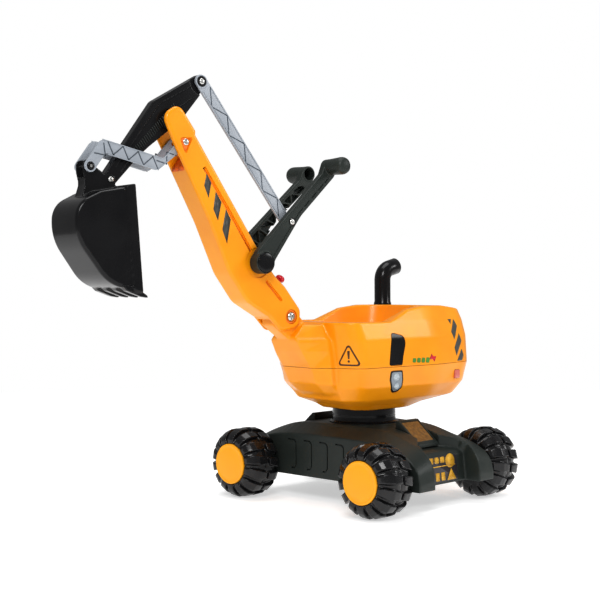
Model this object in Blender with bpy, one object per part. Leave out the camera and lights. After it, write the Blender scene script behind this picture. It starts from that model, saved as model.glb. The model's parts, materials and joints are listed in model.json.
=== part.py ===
"""Ride-on toy excavator: chassis with four wheels, slewing seat, boom, dipper, levers and bucket.

Metres, +Z up. Outlines are drawn in the excavator's own side plane: X runs forward along the
boom from the slew axis, Y runs to the driver's left and Z runs up from the floor.
"""
import math

import bmesh
import bpy
from mathutils import Matrix, Vector

for old in list(bpy.data.objects):
    bpy.data.objects.remove(old, do_unlink=True)

# ---- driving dimensions ------------------------------------------------------------------------
GAP = 0.0003                    # clearance between touching pieces
SLEW_X = -0.2249                # slew axis, so that the whole toy is centred on the origin
CHASSIS_TURN = math.radians(-83.4)   # chassis heading against the boom, at rest

WHEEL_RADIUS = 0.0714
WHEEL_BASE = 0.356
HUB_SPAN = 0.430                # over the four hub caps
TYRE_WIDTH = 0.091
HUB_RADIUS = 0.041
AXLE_RADIUS = 0.0050
LUGS = 14                       # tread blocks round each half of a tyre
LUG_HEIGHT = 0.0050
LUG_TOP_HALF_ANGLE = 0.19 * 2 * math.pi / LUGS
WHEEL_CENTRE_Z = WHEEL_RADIUS * math.cos(LUG_TOP_HALF_ANGLE)   # a tread block lies flat on the floor

CHASSIS_HALF_WIDTH = 0.118
CHASSIS_BOTTOM = 0.047
COLLAR_RADIUS = 0.065
COLLAR_TOP = 0.1847
SLEW_BORE = 0.0130
SEAM_Z = 0.275

BOOM_PIVOT = (0.2135, 0.3760)   # boom foot on the turret nose
LEVER_PIVOT = (0.2937, 0.4805)  # levers on the boom
DIPPER_PIVOT = (0.4780, 0.7360)  # dipper on the boom's tip
CRANK = (-0.0685, 0.0790)       # lever pivot to link pin, and dipper pivot to dipper tail
LINK_PIVOT = (0.4558, 0.6986)   # bucket link on the boom
LINK_END = (0.6469, 0.6450)     # bucket link on the bucket's ears
BUCKET_PIVOT = (0.6042, 0.6237)  # bucket on the dipper
GRIP_AXIS = (0.1265, 0.6702)

BOOM_HALF_WIDTH = 0.028
FORK_HALF_GAP = 0.0200
DIPPER_HALF_WIDTH = 0.0100
EAR_OUTER = 0.0138
LINK_PLATE = (0.0148, 0.0195)   # inner and outer face of a bucket link plate
ARM_INNER = 0.0320
ARM_OUTER = 0.0470
HUB_INNER = 0.0286
HUB_OUTER = 0.0530
PIN_RADIUS = 0.0035
BOLT_RADIUS = 0.0040
SHAFT_RADIUS = 0.0060
DIPPER_PIN_RADIUS = 0.0050
BUTTON_STEM = 0.0055
RUNNING = 0.0003                # radial clearance of a turning bore
LINK_END_BORE = 0.0075          # the open pivot of the bucket linkage has slack
ROUND = 28                      # sides of a large round piece
SMALL_ROUND = 12                # sides of a pin or a bolt head
PIPE_ROUND = 16                 # sides of the exhaust pipe

LOWER_LINK_PIN = (LEVER_PIVOT[0] + CRANK[0], LEVER_PIVOT[1] + CRANK[1])
DIPPER_TAIL = (DIPPER_PIVOT[0] + CRANK[0], DIPPER_PIVOT[1] + CRANK[1])

# ---- materials: colour, roughness, metallic ----------------------------------------------------
FINISHES = {
    "yellow_plastic": ((0.92, 0.37, 0.015), 0.32, 0.0),
    "dark_plastic": ((0.030, 0.036, 0.033), 0.45, 0.0),
    "black_gloss": ((0.008, 0.008, 0.008), 0.18, 0.0),
    "silver_plastic": ((0.42, 0.46, 0.50), 0.35, 0.3),
    "zinc_steel": ((0.60, 0.60, 0.58), 0.30, 1.0),
    "red_plastic": ((0.60, 0.010, 0.020), 0.30, 0.0),
    "lamp_grey": ((0.30, 0.34, 0.38), 0.30, 0.2),
}


def finish(name):
    """The node material of one finish, made once."""
    found = bpy.data.materials.get(name)
    if found:
        return found
    colour, roughness, metallic = FINISHES[name]
    made = bpy.data.materials.new(name)
    made.use_nodes = True
    shader = made.node_tree.nodes["Principled BSDF"]
    shader.inputs["Base Color"].default_value = (*colour, 1.0)
    shader.inputs["Roughness"].default_value = roughness
    shader.inputs["Metallic"].default_value = metallic
    return made


# ---- outlines in the side plane: lists of (x, z) ----------------------------------------------
def rounded(corners, steps=4, shortest=0.0002):
    """A polygon from (x, z, fillet radius) corners, each corner turned on an arc."""
    points = []
    count = len(corners)
    for i, (x, z, radius) in enumerate(corners):
        here = Vector((x, z))
        if radius <= 0.0:
            points.append(here)
            continue
        back = Vector(corners[i - 1][:2]) - here
        ahead = Vector(corners[(i + 1) % count][:2]) - here
        room = 0.49 * min(back.length, ahead.length)
        back.normalize()
        ahead.normalize()
        half = 0.5 * back.angle(ahead)
        radius = min(radius, room * math.tan(half))
        centre = here + (back + ahead).normalized() * (radius / math.sin(half))
        start = here + back * (radius / math.tan(half)) - centre
        end = here + ahead * (radius / math.tan(half)) - centre
        sweep = start.angle_signed(end)
        for k in range(steps + 1):
            points.append(centre + Matrix.Rotation(-sweep * k / steps, 2) @ start)
    return [(p.x, p.y) for i, p in enumerate(points) if (p - points[i - 1]).length > shortest]


def end_corners(pivot, inward, radius):
    """Two corners, filleted to a half circle, that close a bar round its pivot."""
    along = Vector(inward).normalized() * radius
    across = Vector((-along.y, along.x))
    first = Vector(pivot) - along + across
    second = Vector(pivot) - along - across
    return [(first.x, first.y, radius), (second.x, second.y, radius)]


def toward(start, end):
    return (end[0] - start[0], end[1] - start[1])


def bar(start, end, start_radius, end_radius):
    """A straight link outline with a round end about each pivot."""
    corners = end_corners(start, toward(start, end), start_radius)
    corners += end_corners(end, toward(end, start), end_radius)
    return rounded(corners, steps=8)


# ---- solids as bmesh ---------------------------------------------------------------------------
def prism(outline, low, high):
    """An outline of the side plane, extruded across the toy from Y = low to Y = high."""
    mesh = bmesh.new()
    near = [mesh.verts.new((x, low, z)) for x, z in outline]
    far = [mesh.verts.new((x, high, z)) for x, z in outline]
    mesh.faces.new(near)
    mesh.faces.new(list(reversed(far)))
    for i in range(len(near)):
        j = (i + 1) % len(near)
        mesh.faces.new((near[j], near[i], far[i], far[j]))
    return outward(mesh)


def loft(rings):
    """A closed solid through rings of equal length, with flat ends."""
    mesh = bmesh.new()
    rows = [[mesh.verts.new(p) for p in ring] for ring in rings]
    for lower, upper in zip(rows, rows[1:]):
        for i in range(len(lower)):
            j = (i + 1) % len(lower)
            mesh.faces.new((lower[i], lower[j], upper[j], upper[i]))
    mesh.faces.new(list(reversed(rows[0])))
    mesh.faces.new(rows[-1])
    return outward(mesh)


def turned(profile, sides, axis, place):
    """A profile of (radius, height) points turned about an axis; closed on the axis or on itself."""
    mesh = bmesh.new()
    turn = Vector((0, 0, 1)).rotation_difference(Vector(axis)).to_matrix().to_4x4()
    frame = Matrix.Translation(place) @ turn
    rows = []
    for radius, height in profile:
        if radius < 1e-9:
            rows.append([mesh.verts.new(frame @ Vector((0, 0, height)))])
            continue
        row = []
        for k in range(sides):
            a = 2 * math.pi * k / sides
            point = Vector((radius * math.cos(a), radius * math.sin(a), height))
            row.append(mesh.verts.new(frame @ point))
        rows.append(row)
    closed = len(rows[0]) > 1
    pairs = list(zip(rows, rows[1:]))
    if closed:
        pairs.append((rows[-1], rows[0]))
    for a, b in pairs:
        for k in range(sides):
            n = (k + 1) % sides
            if len(a) == 1 and len(b) == 1:
                break
            if len(a) == 1:
                mesh.faces.new((a[0], b[k], b[n]))
            elif len(b) == 1:
                mesh.faces.new((a[k], b[0], a[n]))
            else:
                mesh.faces.new((a[k], b[k], b[n], a[n]))
    return outward(mesh)


def rod(radius, low, high, sides, axis, place):
    return turned([(0, low), (radius, low), (radius, high), (0, high)], sides, axis, place)


def cross_rod(pivot, radius, low, high, sides=SMALL_ROUND):
    """A round bar across the toy through a pivot of the side plane."""
    return rod(radius, low, high, sides, (0, 1, 0), (pivot[0], 0, pivot[1]))


def block(low, high):
    """A box between two corners."""
    outline = [(low[0], low[2]), (high[0], low[2]), (high[0], high[2]), (low[0], high[2])]
    return prism(outline, low[1], high[1])


def outward(mesh):
    """Face normals out, whichever way the outline ran."""
    bmesh.ops.recalc_face_normals(mesh, faces=mesh.faces)
    if mesh.calc_volume(signed=True) < 0:
        bmesh.ops.reverse_faces(mesh, faces=mesh.faces)
    return mesh


# ---- objects -----------------------------------------------------------------------------------
def to_object(name, mesh, pivot, turn=0.0):
    """An object whose origin is on its joint axis; the mesh is drawn from the slew axis."""
    origin = Vector(pivot)
    bmesh.ops.translate(mesh, verts=mesh.verts, vec=-origin)
    data = bpy.data.meshes.new(name)
    mesh.to_mesh(data)
    mesh.free()
    made = bpy.data.objects.new(name, data)
    bpy.context.scene.collection.objects.link(made)
    made.location = Vector((SLEW_X, 0, 0)) + Matrix.Rotation(turn, 3, "Z") @ origin
    made.rotation_euler = (0, 0, turn)
    return made


def piece(name, mesh, look, pivot=(0, 0, 0), turn=0.0, sharp=35, bevel=0.0, segments=2):
    """One sub-part with its material, smooth shading and an optional edge round."""
    made = to_object(name, mesh, pivot, turn)
    made.data.materials.append(finish(look))
    made.data.shade_smooth()
    made.data.set_sharp_from_angle(angle=math.radians(sharp))
    if bevel > 0:
        rounding = made.modifiers.new("edge_round", "BEVEL")
        rounding.width = bevel
        rounding.segments = segments
        rounding.limit_method = "ANGLE"
        rounding.angle_limit = math.radians(40)
        rounding.use_clamp_overlap = True
    return made


def tool(mesh, name, pivot=(0, 0, 0), turn=0.0):
    """A boolean's other solid, left out of the build."""
    made = to_object(name, mesh, pivot, turn)
    made.hide_render = True
    made.display_type = "WIRE"
    return made


def boolean(target, other, operation):
    step = target.modifiers.new(operation.lower() + "_" + other.name, "BOOLEAN")
    step.operation = operation
    step.object = other
    step.solver = "EXACT"
    return target


def cut(target, mesh, label):
    """Takes a solid away from a piece that shares its frame."""
    turn = target.rotation_euler.z
    return boolean(target, tool(mesh, target.name + "_" + label, turn=turn), "DIFFERENCE")


def weld(target, mesh, label):
    """Joins a solid to a piece that shares its frame."""
    turn = target.rotation_euler.z
    return boolean(target, tool(mesh, target.name + "_" + label, turn=turn), "UNION")


def side_point(pivot):
    return (pivot[0], 0, pivot[1])


# ---- chassis (drawn in its own frame: X along the wheelbase, Y along the axles) ----------------
CHASSIS_PROFILE = [             # station along the wheelbase, shoulder, crown and crown half width
    (0.040, 0.134, 0.155, 0.080),
    (0.115, 0.132, 0.151, 0.076),
    (0.175, 0.122, 0.135, 0.074),
    (0.215, 0.106, 0.118, 0.072),
    (0.236, 0.086, 0.094, 0.070),
    (0.243, 0.060, 0.066, 0.068),
]
SHELL_WALL = 0.006
CHANNEL = [(0.1100, 0.1500), (0.1600, 0.1145), (0.2050, 0.0980), (0.2500, 0.0660)]   # floor, x and z
CHANNEL_HALF_WIDTH = 0.0340
HOLLOW_PROFILE = [              # station, roof of the hollow, which clears the channel
    (0.040, 0.148), (0.105, 0.142), (0.155, 0.107), (0.205, 0.090), (0.230, 0.072), (0.237, 0.064),
]
PAD_OUTLINE = [                 # step pad over the channel: x and z
    (0.1115, 0.1496), (0.1115, 0.1660), (0.1190, 0.1660), (0.1700, 0.1225), (0.1715, 0.1165),
    (0.1602, 0.1151),
]
PAD_HALF_WIDTH = 0.0310
AXLE_CLEARANCE = 0.0004


def chassis_ring(x, shoulder, crown, crown_half):
    """One section across the chassis: upright sides, sloped shoulders and a flat crown."""
    half = CHASSIS_HALF_WIDTH
    return [
        (x, -half, CHASSIS_BOTTOM), (x, half, CHASSIS_BOTTOM), (x, half, shoulder),
        (x, crown_half, crown), (x, -crown_half, crown), (x, -half, shoulder),
    ]


def hollow_ring(x, roof):
    half = CHASSIS_HALF_WIDTH - SHELL_WALL
    floor = CHASSIS_BOTTOM - 0.02
    return [(x, -half, floor), (x, half, floor), (x, half, roof), (x, -half, roof)]


def both_ends(rings):
    """Sections of one end of the chassis, repeated for the other."""
    mirrored = [[(-x, y, z) for x, y, z in ring] for ring in reversed(rings)]
    return mirrored + rings


def wheel_places():
    """Name, wheelbase side and axle side of each wheel."""
    for end, sx in (("front", 1), ("rear", -1)):
        for side, sy in (("left", 1), ("right", -1)):
            yield f"{end}_{side}", sx, sy


def build_chassis():
    turn = CHASSIS_TURN
    rings = [chassis_ring(*station) for station in CHASSIS_PROFILE]
    frame = piece("chassis_frame", loft(both_ends(rings)), "dark_plastic", turn=turn, bevel=0.005,
                  segments=1)
    for end, sx in (("front", 1), ("rear", -1)):
        above = [(0.2500, 0.2000), (CHANNEL[0][0], 0.2000)]
        outline = [(sx * x, z) for x, z in CHANNEL + above]
        channel = prism(outline, -CHANNEL_HALF_WIDTH, CHANNEL_HALF_WIDTH)
        cut(frame, channel, end + "_channel")
    cut(frame, loft(both_ends([hollow_ring(*station) for station in HOLLOW_PROFILE])), "hollow")
    cut(frame, rod(SLEW_BORE, 0.10, 0.20, SMALL_ROUND, (0, 0, 1), (0, 0, 0)), "slew_bore")
    for end, sx in (("front", 1), ("rear", -1)):
        hole = rod(AXLE_RADIUS + AXLE_CLEARANCE, -0.13, 0.13, SMALL_ROUND, (0, 1, 0),
                   (sx * WHEEL_BASE / 2, 0, WHEEL_CENTRE_Z))
        cut(frame, hole, end + "_axle_hole")
    collar = [(SLEW_BORE, 0.1553), (COLLAR_RADIUS + 0.006, 0.1553), (COLLAR_RADIUS + 0.001, 0.160),
              (COLLAR_RADIUS, COLLAR_TOP), (SLEW_BORE, COLLAR_TOP)]
    piece("turntable_collar", turned(collar, ROUND, (0, 0, 1), (0, 0, 0)), "black_gloss", turn=turn)
    for end, sx in (("front", 1), ("rear", -1)):
        build_pad("step_pad_" + end, sx, turn)
        build_axle(end, sx, turn)
    for i in range(3):
        for sy in (1, -1):
            groove_x = 0.052 * (i - 1)
            groove = block((groove_x - 0.002, sy * CHASSIS_HALF_WIDTH - 0.0022, 0.062),
                           (groove_x + 0.002, sy * CHASSIS_HALF_WIDTH + 0.01, 0.116))
            cut(frame, groove, f"groove_{i}_{sy + 1}")


def build_pad(name, sx, turn):
    """Ribbed step pad in the channel above an axle; it sits on the channel floor with a hair's gap."""
    outline = [(sx * x, z) for x, z in PAD_OUTLINE]
    pad = piece(name, prism(outline, -PAD_HALF_WIDTH, PAD_HALF_WIDTH), "dark_plastic", turn=turn)
    inner, outer = Vector(PAD_OUTLINE[2]), Vector(PAD_OUTLINE[3])
    slope = math.atan2(inner.y - outer.y, outer.x - inner.x)
    middle = 0.5 * (inner + outer)
    ribs = 8
    for i in range(ribs):
        y = PAD_HALF_WIDTH * 0.8 * (2 * (i + 0.5) / ribs - 1)
        groove = block((-0.024, y - 0.0012, -0.0014), (0.024, y + 0.0012, 0.01))
        bmesh.ops.transform(groove, matrix=Matrix.Rotation(slope, 4, "Y"), verts=groove.verts)
        bmesh.ops.translate(groove, vec=(middle.x, 0, middle.y), verts=groove.verts)
        if sx < 0:
            bmesh.ops.transform(groove, matrix=Matrix.Rotation(math.pi, 4, "Z"), verts=groove.verts)
        cut(pad, groove, f"rib_{i}")


def build_axle(end, sx, turn):
    place = (sx * WHEEL_BASE / 2, 0, WHEEL_CENTRE_Z)
    reach = HUB_SPAN / 2 - 0.016
    piece(end + "_axle", rod(AXLE_RADIUS, -reach, reach, SMALL_ROUND, (0, 1, 0), place),
          "zinc_steel", turn=turn)
    for side, sy in (("left", 1), ("right", -1)):
        nut = [(AXLE_RADIUS + 0.0003, 0.0), (0.0115, 0.0), (0.0115, 0.0015), (0.0075, 0.0050),
               (AXLE_RADIUS + 0.0003, 0.0050)]
        start = sy * (HUB_SPAN / 2 - 0.0240)
        solid = turned(nut, SMALL_ROUND, (0, sy, 0), (place[0], start, place[2]))
        piece(f"push_nut_{end}_{side}", solid, "zinc_steel", turn=turn)


# ---- wheels (drawn about the axle, then carried to their places) -------------------------------
LUG_STEPS = (0.00, 0.08, 0.46, 0.54)   # corners of one lug and gap, as parts of the lug pitch
OUTER_LUG = (0.0, 1.0, 1.0, 0.0)       # lug height at those corners, on the outer half of the tread
INNER_LUG = (1.0, 0.0, 0.0, 1.0)       # the inner half is staggered
NO_LUG = (0.0, 0.0, 0.0, 0.0)


def tyre_section():
    """Rows of the tyre: radius, distance in from the hub face and lug pattern."""
    base = WHEEL_RADIUS - LUG_HEIGHT
    bore = AXLE_RADIUS + AXLE_CLEARANCE
    seat = HUB_RADIUS + GAP
    return [
        (bore, 0.0260, NO_LUG), (seat, 0.0260, NO_LUG), (seat, 0.0020, NO_LUG),
        (base - 0.016, 0.0030, NO_LUG), (base - 0.007, 0.0100, OUTER_LUG), (base, 0.0200, OUTER_LUG),
        (base, 0.0420, OUTER_LUG), (base, 0.0490, INNER_LUG), (base, 0.0700, INNER_LUG),
        (base - 0.007, 0.0800, INNER_LUG), (base - 0.016, 0.0880, NO_LUG), (0.040, TYRE_WIDTH, NO_LUG),
        (bore, TYRE_WIDTH, NO_LUG),
    ]


def tyre_mesh():
    """Turned about Y, hub face at Y = 0, tyre running to -Y, with the lugs raised on the way."""
    pitch = 2 * math.pi / LUGS
    middle = 0.5 * (LUG_STEPS[1] + LUG_STEPS[2])
    mesh = bmesh.new()
    rows = []
    for radius, depth, lugs in tyre_section():
        row = []
        for lug in range(LUGS):
            for part, height in zip(LUG_STEPS, lugs):
                a = pitch * (lug + part - middle) - math.pi / 2
                r = radius + LUG_HEIGHT * height
                row.append(mesh.verts.new((r * math.cos(a), -depth, r * math.sin(a))))
        rows.append(row)
    for inner, outer in zip(rows, rows[1:] + rows[:1]):
        for k in range(len(inner)):
            n = (k + 1) % len(inner)
            mesh.faces.new((inner[k], outer[k], outer[n], inner[n]))
    return outward(mesh)


def build_wheels():
    for name, sx, sy in wheel_places():
        place = Vector((sx * WHEEL_BASE / 2, sy * HUB_SPAN / 2, WHEEL_CENTRE_Z))
        cap = [(0, -0.0075), (HUB_RADIUS * 0.93, -0.0075), (HUB_RADIUS, -0.0110), (HUB_RADIUS, 0.0),
               (HUB_RADIUS - 0.0025, 0.0018), (0.6 * HUB_RADIUS, 0.0030), (0, 0.0035)]
        for kind, mesh, look in (("tyre", tyre_mesh(), "black_gloss"),
                                 ("hub_cap", turned(cap, ROUND, (0, 1, 0), (0, 0, 0)), "yellow_plastic")):
            if sy < 0:
                bmesh.ops.transform(mesh, matrix=Matrix.Rotation(math.pi, 4, "Z"), verts=mesh.verts)
            bmesh.ops.translate(mesh, vec=place, verts=mesh.verts)
            piece(f"{kind}_{name}", mesh, look, pivot=place, turn=CHASSIS_TURN, sharp=30)


# ---- turret ------------------------------------------------------------------------------------
def plan(z, nose_x, nose_y, front_x, half, tail_x, tail_half, steps=3):
    """One level of the turret in plan: nose corner, broad front corner and tail corner, mirrored."""
    corners = [
        (nose_x, nose_y, 0.30 * nose_y), (front_x, half, 0.30 * half),
        (0.5 * (front_x + tail_x) - 0.03, half, 0.2), (tail_x, tail_half, 0.75 * tail_half),
    ]
    full = corners + [(x, -y, r) for x, y, r in reversed(corners)]
    return [(x, y, z) for x, y in rounded(full, steps, shortest=0.0)]


LOWER_LEVELS = [                # z, nose x, nose half width, front x, half width, tail x, tail half
    (0.1850, 0.070, 0.050, 0.045, 0.070, -0.085, 0.050),
    (0.1950, 0.085, 0.060, 0.055, 0.080, -0.120, 0.060),
    (0.2080, 0.120, 0.070, 0.095, 0.100, -0.205, 0.080),
    (0.2350, 0.135, 0.080, 0.115, 0.122, -0.225, 0.093),
    (0.2747, 0.142, 0.085, 0.125, 0.131, -0.236, 0.094),
]
UPPER_LEVELS = [
    (0.2753, 0.142, 0.085, 0.125, 0.131, -0.236, 0.094),
    (0.3300, 0.146, 0.084, 0.130, 0.129, -0.233, 0.093),
    (0.3640, 0.150, 0.080, 0.135, 0.120, -0.226, 0.088),
    (0.3960, 0.142, 0.070, 0.125, 0.106, -0.214, 0.078),
]
NOSE_LEVELS = [                 # z, front x, front half width, rear half width
    (0.2060, 0.1050, 0.038, 0.056),
    (0.2240, 0.1420, 0.041, 0.068),
    (0.2420, 0.1630, 0.043, 0.075),
    (0.2750, 0.1780, 0.045, 0.078),
    (0.3080, 0.2000, 0.044, 0.074),
    (0.3290, 0.2110, 0.042, 0.070),
    (0.3360, 0.2120, 0.034, 0.062),
    (0.3600, 0.1860, 0.030, 0.048),
]
NOSE_SHOULDER = 0.1560          # where the nose flares into the body
NOSE_ROOT = 0.1140              # how far it reaches back into the body
BOSS_RADIUS = 0.0240
BOSS_PLATE = [(0.1700, 0.3300), (0.1720, 0.3640), (0.1905, 0.3815), (0.2135, 0.4000), (0.2300, 0.3950),
              (0.2530, 0.3800), (0.2510, 0.3600), (0.2100, 0.3300)]
BOSS_HALF_WIDTH = 0.0195
SHELL_INSET = 0.005
SEAT_FLOOR = 0.3310
RIM_Z = 0.3640
DECK_Z = 0.3940
WINDOW = (0.012, 0.050, 0.284, 0.345)    # side window: x from, x to, z from, z to
LAMP = (0.018, 0.045, 0.226, 0.268)
SIDE_POCKET_Y = 0.1240
SIDE_PLATE_Y = 0.1295
LAMP_POCKET_Y = 0.1180
LAMP_PLATE_Y = 0.1275
REFLECTOR_AT = (-0.163, 0.1085, 0.2505)
REFLECTOR_FACING = math.radians(103)
EXHAUST_XY = (-0.128, -0.080)
EXHAUST_RADIUS = 0.0175


def nose_mesh(grow):
    """The nose that carries the boom; grown a little, it is also the notch in the upper shell."""
    rings = []
    for z, front_x, front_half, rear_half in NOSE_LEVELS:
        half = front_half + grow
        root = rear_half + grow
        back = min(NOSE_ROOT, front_x - 0.030) - grow
        shoulder = min(NOSE_SHOULDER, front_x - 0.012)
        ring = [(front_x, -half), (front_x, half), (shoulder, root), (back, root),
                (back, -root), (shoulder, -root)]
        rings.append([(x, y, z) for x, y in ring])
    if grow > 0:
        rings = [[(x, y, SEAM_Z - 0.01) for x, y, z in rings[3]]] + rings[3:]
        rings.append([(x, y, z + grow) for x, y, z in rings.pop()])
    return loft(rings)


def side_plate(span, low, high, grow=0.0):
    """A rounded plate in the turret's side: a window or a lamp, or the pocket for one."""
    x0, x1, z0, z1 = span
    r = 0.006
    corners = [(x0 - grow, z0 - grow, r), (x1 + grow, z0 - grow, r), (x1 + grow, z1 + grow, r),
               (x0 - grow, z1 + grow, r)]
    return prism(rounded(corners, 3), min(low, high), max(low, high))


def reflector_block(sy, low, high, grow):
    """A small plate on the tail corner, from low to high along the corner's outward direction."""
    mesh = block((low, -0.0090 - grow, -0.0090 - grow), (high, 0.0090 + grow, 0.0090 + grow))
    facing = Matrix.Rotation(sy * REFLECTOR_FACING, 4, "Z")
    bmesh.ops.transform(mesh, matrix=facing, verts=mesh.verts)
    x, y, z = REFLECTOR_AT
    bmesh.ops.translate(mesh, vec=(x, sy * y, z), verts=mesh.verts)
    return mesh


def build_turret():
    lower = piece("turret_lower_shell", loft([plan(*level) for level in LOWER_LEVELS]), "yellow_plastic",
                  sharp=40)
    inside = []
    for z, nose_x, nose_y, front_x, half, tail_x, tail_half in LOWER_LEVELS[1:]:
        inside.append((z, nose_x - SHELL_INSET, nose_y, front_x - SHELL_INSET, half - SHELL_INSET,
                       tail_x + SHELL_INSET, tail_half - SHELL_INSET))
    inside.append((SEAM_Z + 0.02, *inside[-1][1:]))
    cut(lower, loft([plan(*level) for level in inside]), "inside")
    weld(lower, nose_mesh(0.0), "nose")
    weld(lower, prism(BOSS_PLATE, -BOSS_HALF_WIDTH, BOSS_HALF_WIDTH), "boss_plate")
    weld(lower, cross_rod(BOOM_PIVOT, BOSS_RADIUS, -BOSS_HALF_WIDTH, BOSS_HALF_WIDTH, ROUND), "boss")
    cut(lower, cross_rod(BOOM_PIVOT, BOLT_RADIUS + RUNNING, -0.05, 0.05), "pivot_bore")
    cut(lower, rod(SLEW_BORE, 0.17, 0.21, SMALL_ROUND, (0, 0, 1), (0, 0, 0)), "slew_bore")

    upper = piece("turret_upper_shell", loft([plan(*level) for level in UPPER_LEVELS]), "yellow_plastic",
                  sharp=40)
    cut(upper, nose_mesh(GAP), "nose_notch")
    rim = [(0.30, RIM_Z), (0.036, RIM_Z), (-0.022, 0.3880), (-0.070, DECK_Z), (-0.130, DECK_Z),
           (-0.30, 0.3740), (-0.30, 0.45), (0.30, 0.45)]
    cut(upper, prism(rim, -0.2, 0.2), "rim_line")
    seat = [(SEAT_FLOOR, 0.092, 0.050, 0.080, 0.078, -0.075, 0.050),
            (SEAT_FLOOR + 0.012, 0.105, 0.055, 0.092, 0.091, -0.092, 0.058),
            (DECK_Z + 0.02, 0.120, 0.060, 0.105, 0.101, -0.112, 0.070)]
    cut(upper, loft([plan(*level) for level in seat]), "seat")
    front_void = [(z, 0.100, 0.045, 0.090, 0.118, -0.216, 0.080)
                  for z in (SEAM_Z - 0.01, SEAT_FLOOR - 0.006)]
    cut(upper, loft([plan(*level) for level in front_void]), "underside")

    build_slew_bolt()
    build_exhaust(upper)
    for side, sy in (("left", 1), ("right", -1)):
        cut(upper, side_plate(WINDOW, sy * SIDE_POCKET_Y, sy * 0.15, GAP), side + "_window_pocket")
        cut(lower, side_plate(LAMP, sy * LAMP_POCKET_Y, sy * 0.15, GAP), side + "_lamp_pocket")
        piece("window_inset_" + side, side_plate(WINDOW, sy * (SIDE_POCKET_Y + GAP), sy * SIDE_PLATE_Y),
              "black_gloss")
        piece("lamp_" + side, side_plate(LAMP, sy * (LAMP_POCKET_Y + GAP), sy * LAMP_PLATE_Y),
              "lamp_grey")
        cut(lower, reflector_block(sy, -0.0020, 0.0200, GAP), side + "_reflector_pocket")
        piece("tail_reflector_" + side, reflector_block(sy, -0.0017, 0.0022, 0.0), "red_plastic")


def build_slew_bolt():
    """Spindle from the seat through the collar, held under the chassis crown by a flanged nut."""
    head = [(0, 0.120), (0.0095, 0.120), (0.0095, 0.1320), (0.0120, 0.1320), (0.0120, 0.1953),
            (0.0240, 0.1953), (0.0240, 0.2010), (0.0190, 0.2030), (0, 0.2030)]
    piece("slew_bolt", turned(head, SMALL_ROUND, (0, 0, 1), (0, 0, 0)), "zinc_steel")
    nut = [(0.0098, 0.1305), (0.0170, 0.1305), (0.0170, 0.1400), (0.0260, 0.1400), (0.0260, 0.1446),
           (0.0125, 0.1446), (0.0125, 0.1317), (0.0098, 0.1317)]
    piece("slew_nut", turned(nut, SMALL_ROUND, (0, 0, 1), (0, 0, 0)), "zinc_steel")


def build_exhaust(deck):
    """Bent pipe on the deck behind the seat: a straight stack and an elbow to the rear."""
    x, y = EXHAUST_XY
    base_z = 0.3800
    rings = []
    stack_top = 0.4480
    bend = 0.0260
    collar = 0.0190
    for z, r in ((base_z, collar), (0.3980, collar), (0.4010, EXHAUST_RADIUS), (stack_top, EXHAUST_RADIUS)):
        rings.append((Vector((x, y, z)), 0.0, r))
    for k in range(1, 6):
        a = math.radians(75) * k / 5
        middle = Vector((x - bend * (1 - math.cos(a)), y, stack_top + bend * math.sin(a)))
        rings.append((middle, a, EXHAUST_RADIUS))
    end = rings[-1]
    outlet = end[0] + Vector((-math.sin(end[1]), 0, math.cos(end[1]))) * 0.022
    rings.append((outlet, end[1], EXHAUST_RADIUS))
    levels = [pipe_ring(centre, tilt, radius) for centre, tilt, radius in rings]
    pipe = piece("exhaust_pipe", loft(levels), "black_gloss")
    mouth = [pipe_ring(outlet + Vector((-math.sin(end[1]), 0, math.cos(end[1]))) * d, end[1], r)
             for d, r in ((-0.012, 0.0140), (0.01, 0.0145))]
    cut(pipe, loft(mouth), "mouth")
    cut(deck, rod(collar + GAP, base_z - GAP, 0.41, PIPE_ROUND, (0, 0, 1), (x, y, 0)), "exhaust_socket")


def pipe_ring(centre, tilt, radius):
    ring = []
    for k in range(PIPE_ROUND):
        a = 2 * math.pi * k / PIPE_ROUND
        flat = Vector((radius * math.cos(a), radius * math.sin(a), 0))
        ring.append(tuple(centre + Matrix.Rotation(-tilt, 3, "Y") @ flat))
    return ring


# ---- boom --------------------------------------------------------------------------------------
BOOM_FOOT_RADIUS = 0.0260
BOOM_TIP_RADIUS = 0.0205
FOOT_SLOT_RADIUS = 0.0470
BUTTON_FACE = (0.2300, 0.4375)  # where the lock button leaves the boom's rear edge
BUTTON_AXIS = (-0.643, 0.766)


def boom_outline():
    corners = [
        (0.1915, 0.3560, 0.0225), (0.2380, 0.3480, 0.0160), (0.2655, 0.3760, 0.0060),
        (0.3190, 0.4060, 0.040), (0.3600, 0.4600, 0.060), (0.4042, 0.5564, 0.30), (0.4846, 0.7030, 0.06),
        (0.5040, 0.7450, 0.0190), (0.4690, 0.7680, 0.0170), (0.4330, 0.7205, 0.006),
        (0.4335, 0.7130, 0.006),
        (0.2957, 0.5125, 0.20), (0.2520, 0.4560, 0.10), (0.2270, 0.4350, 0.040),
        (0.1890, 0.3890, 0.0180),
    ]
    return rounded(corners, 4)


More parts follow.
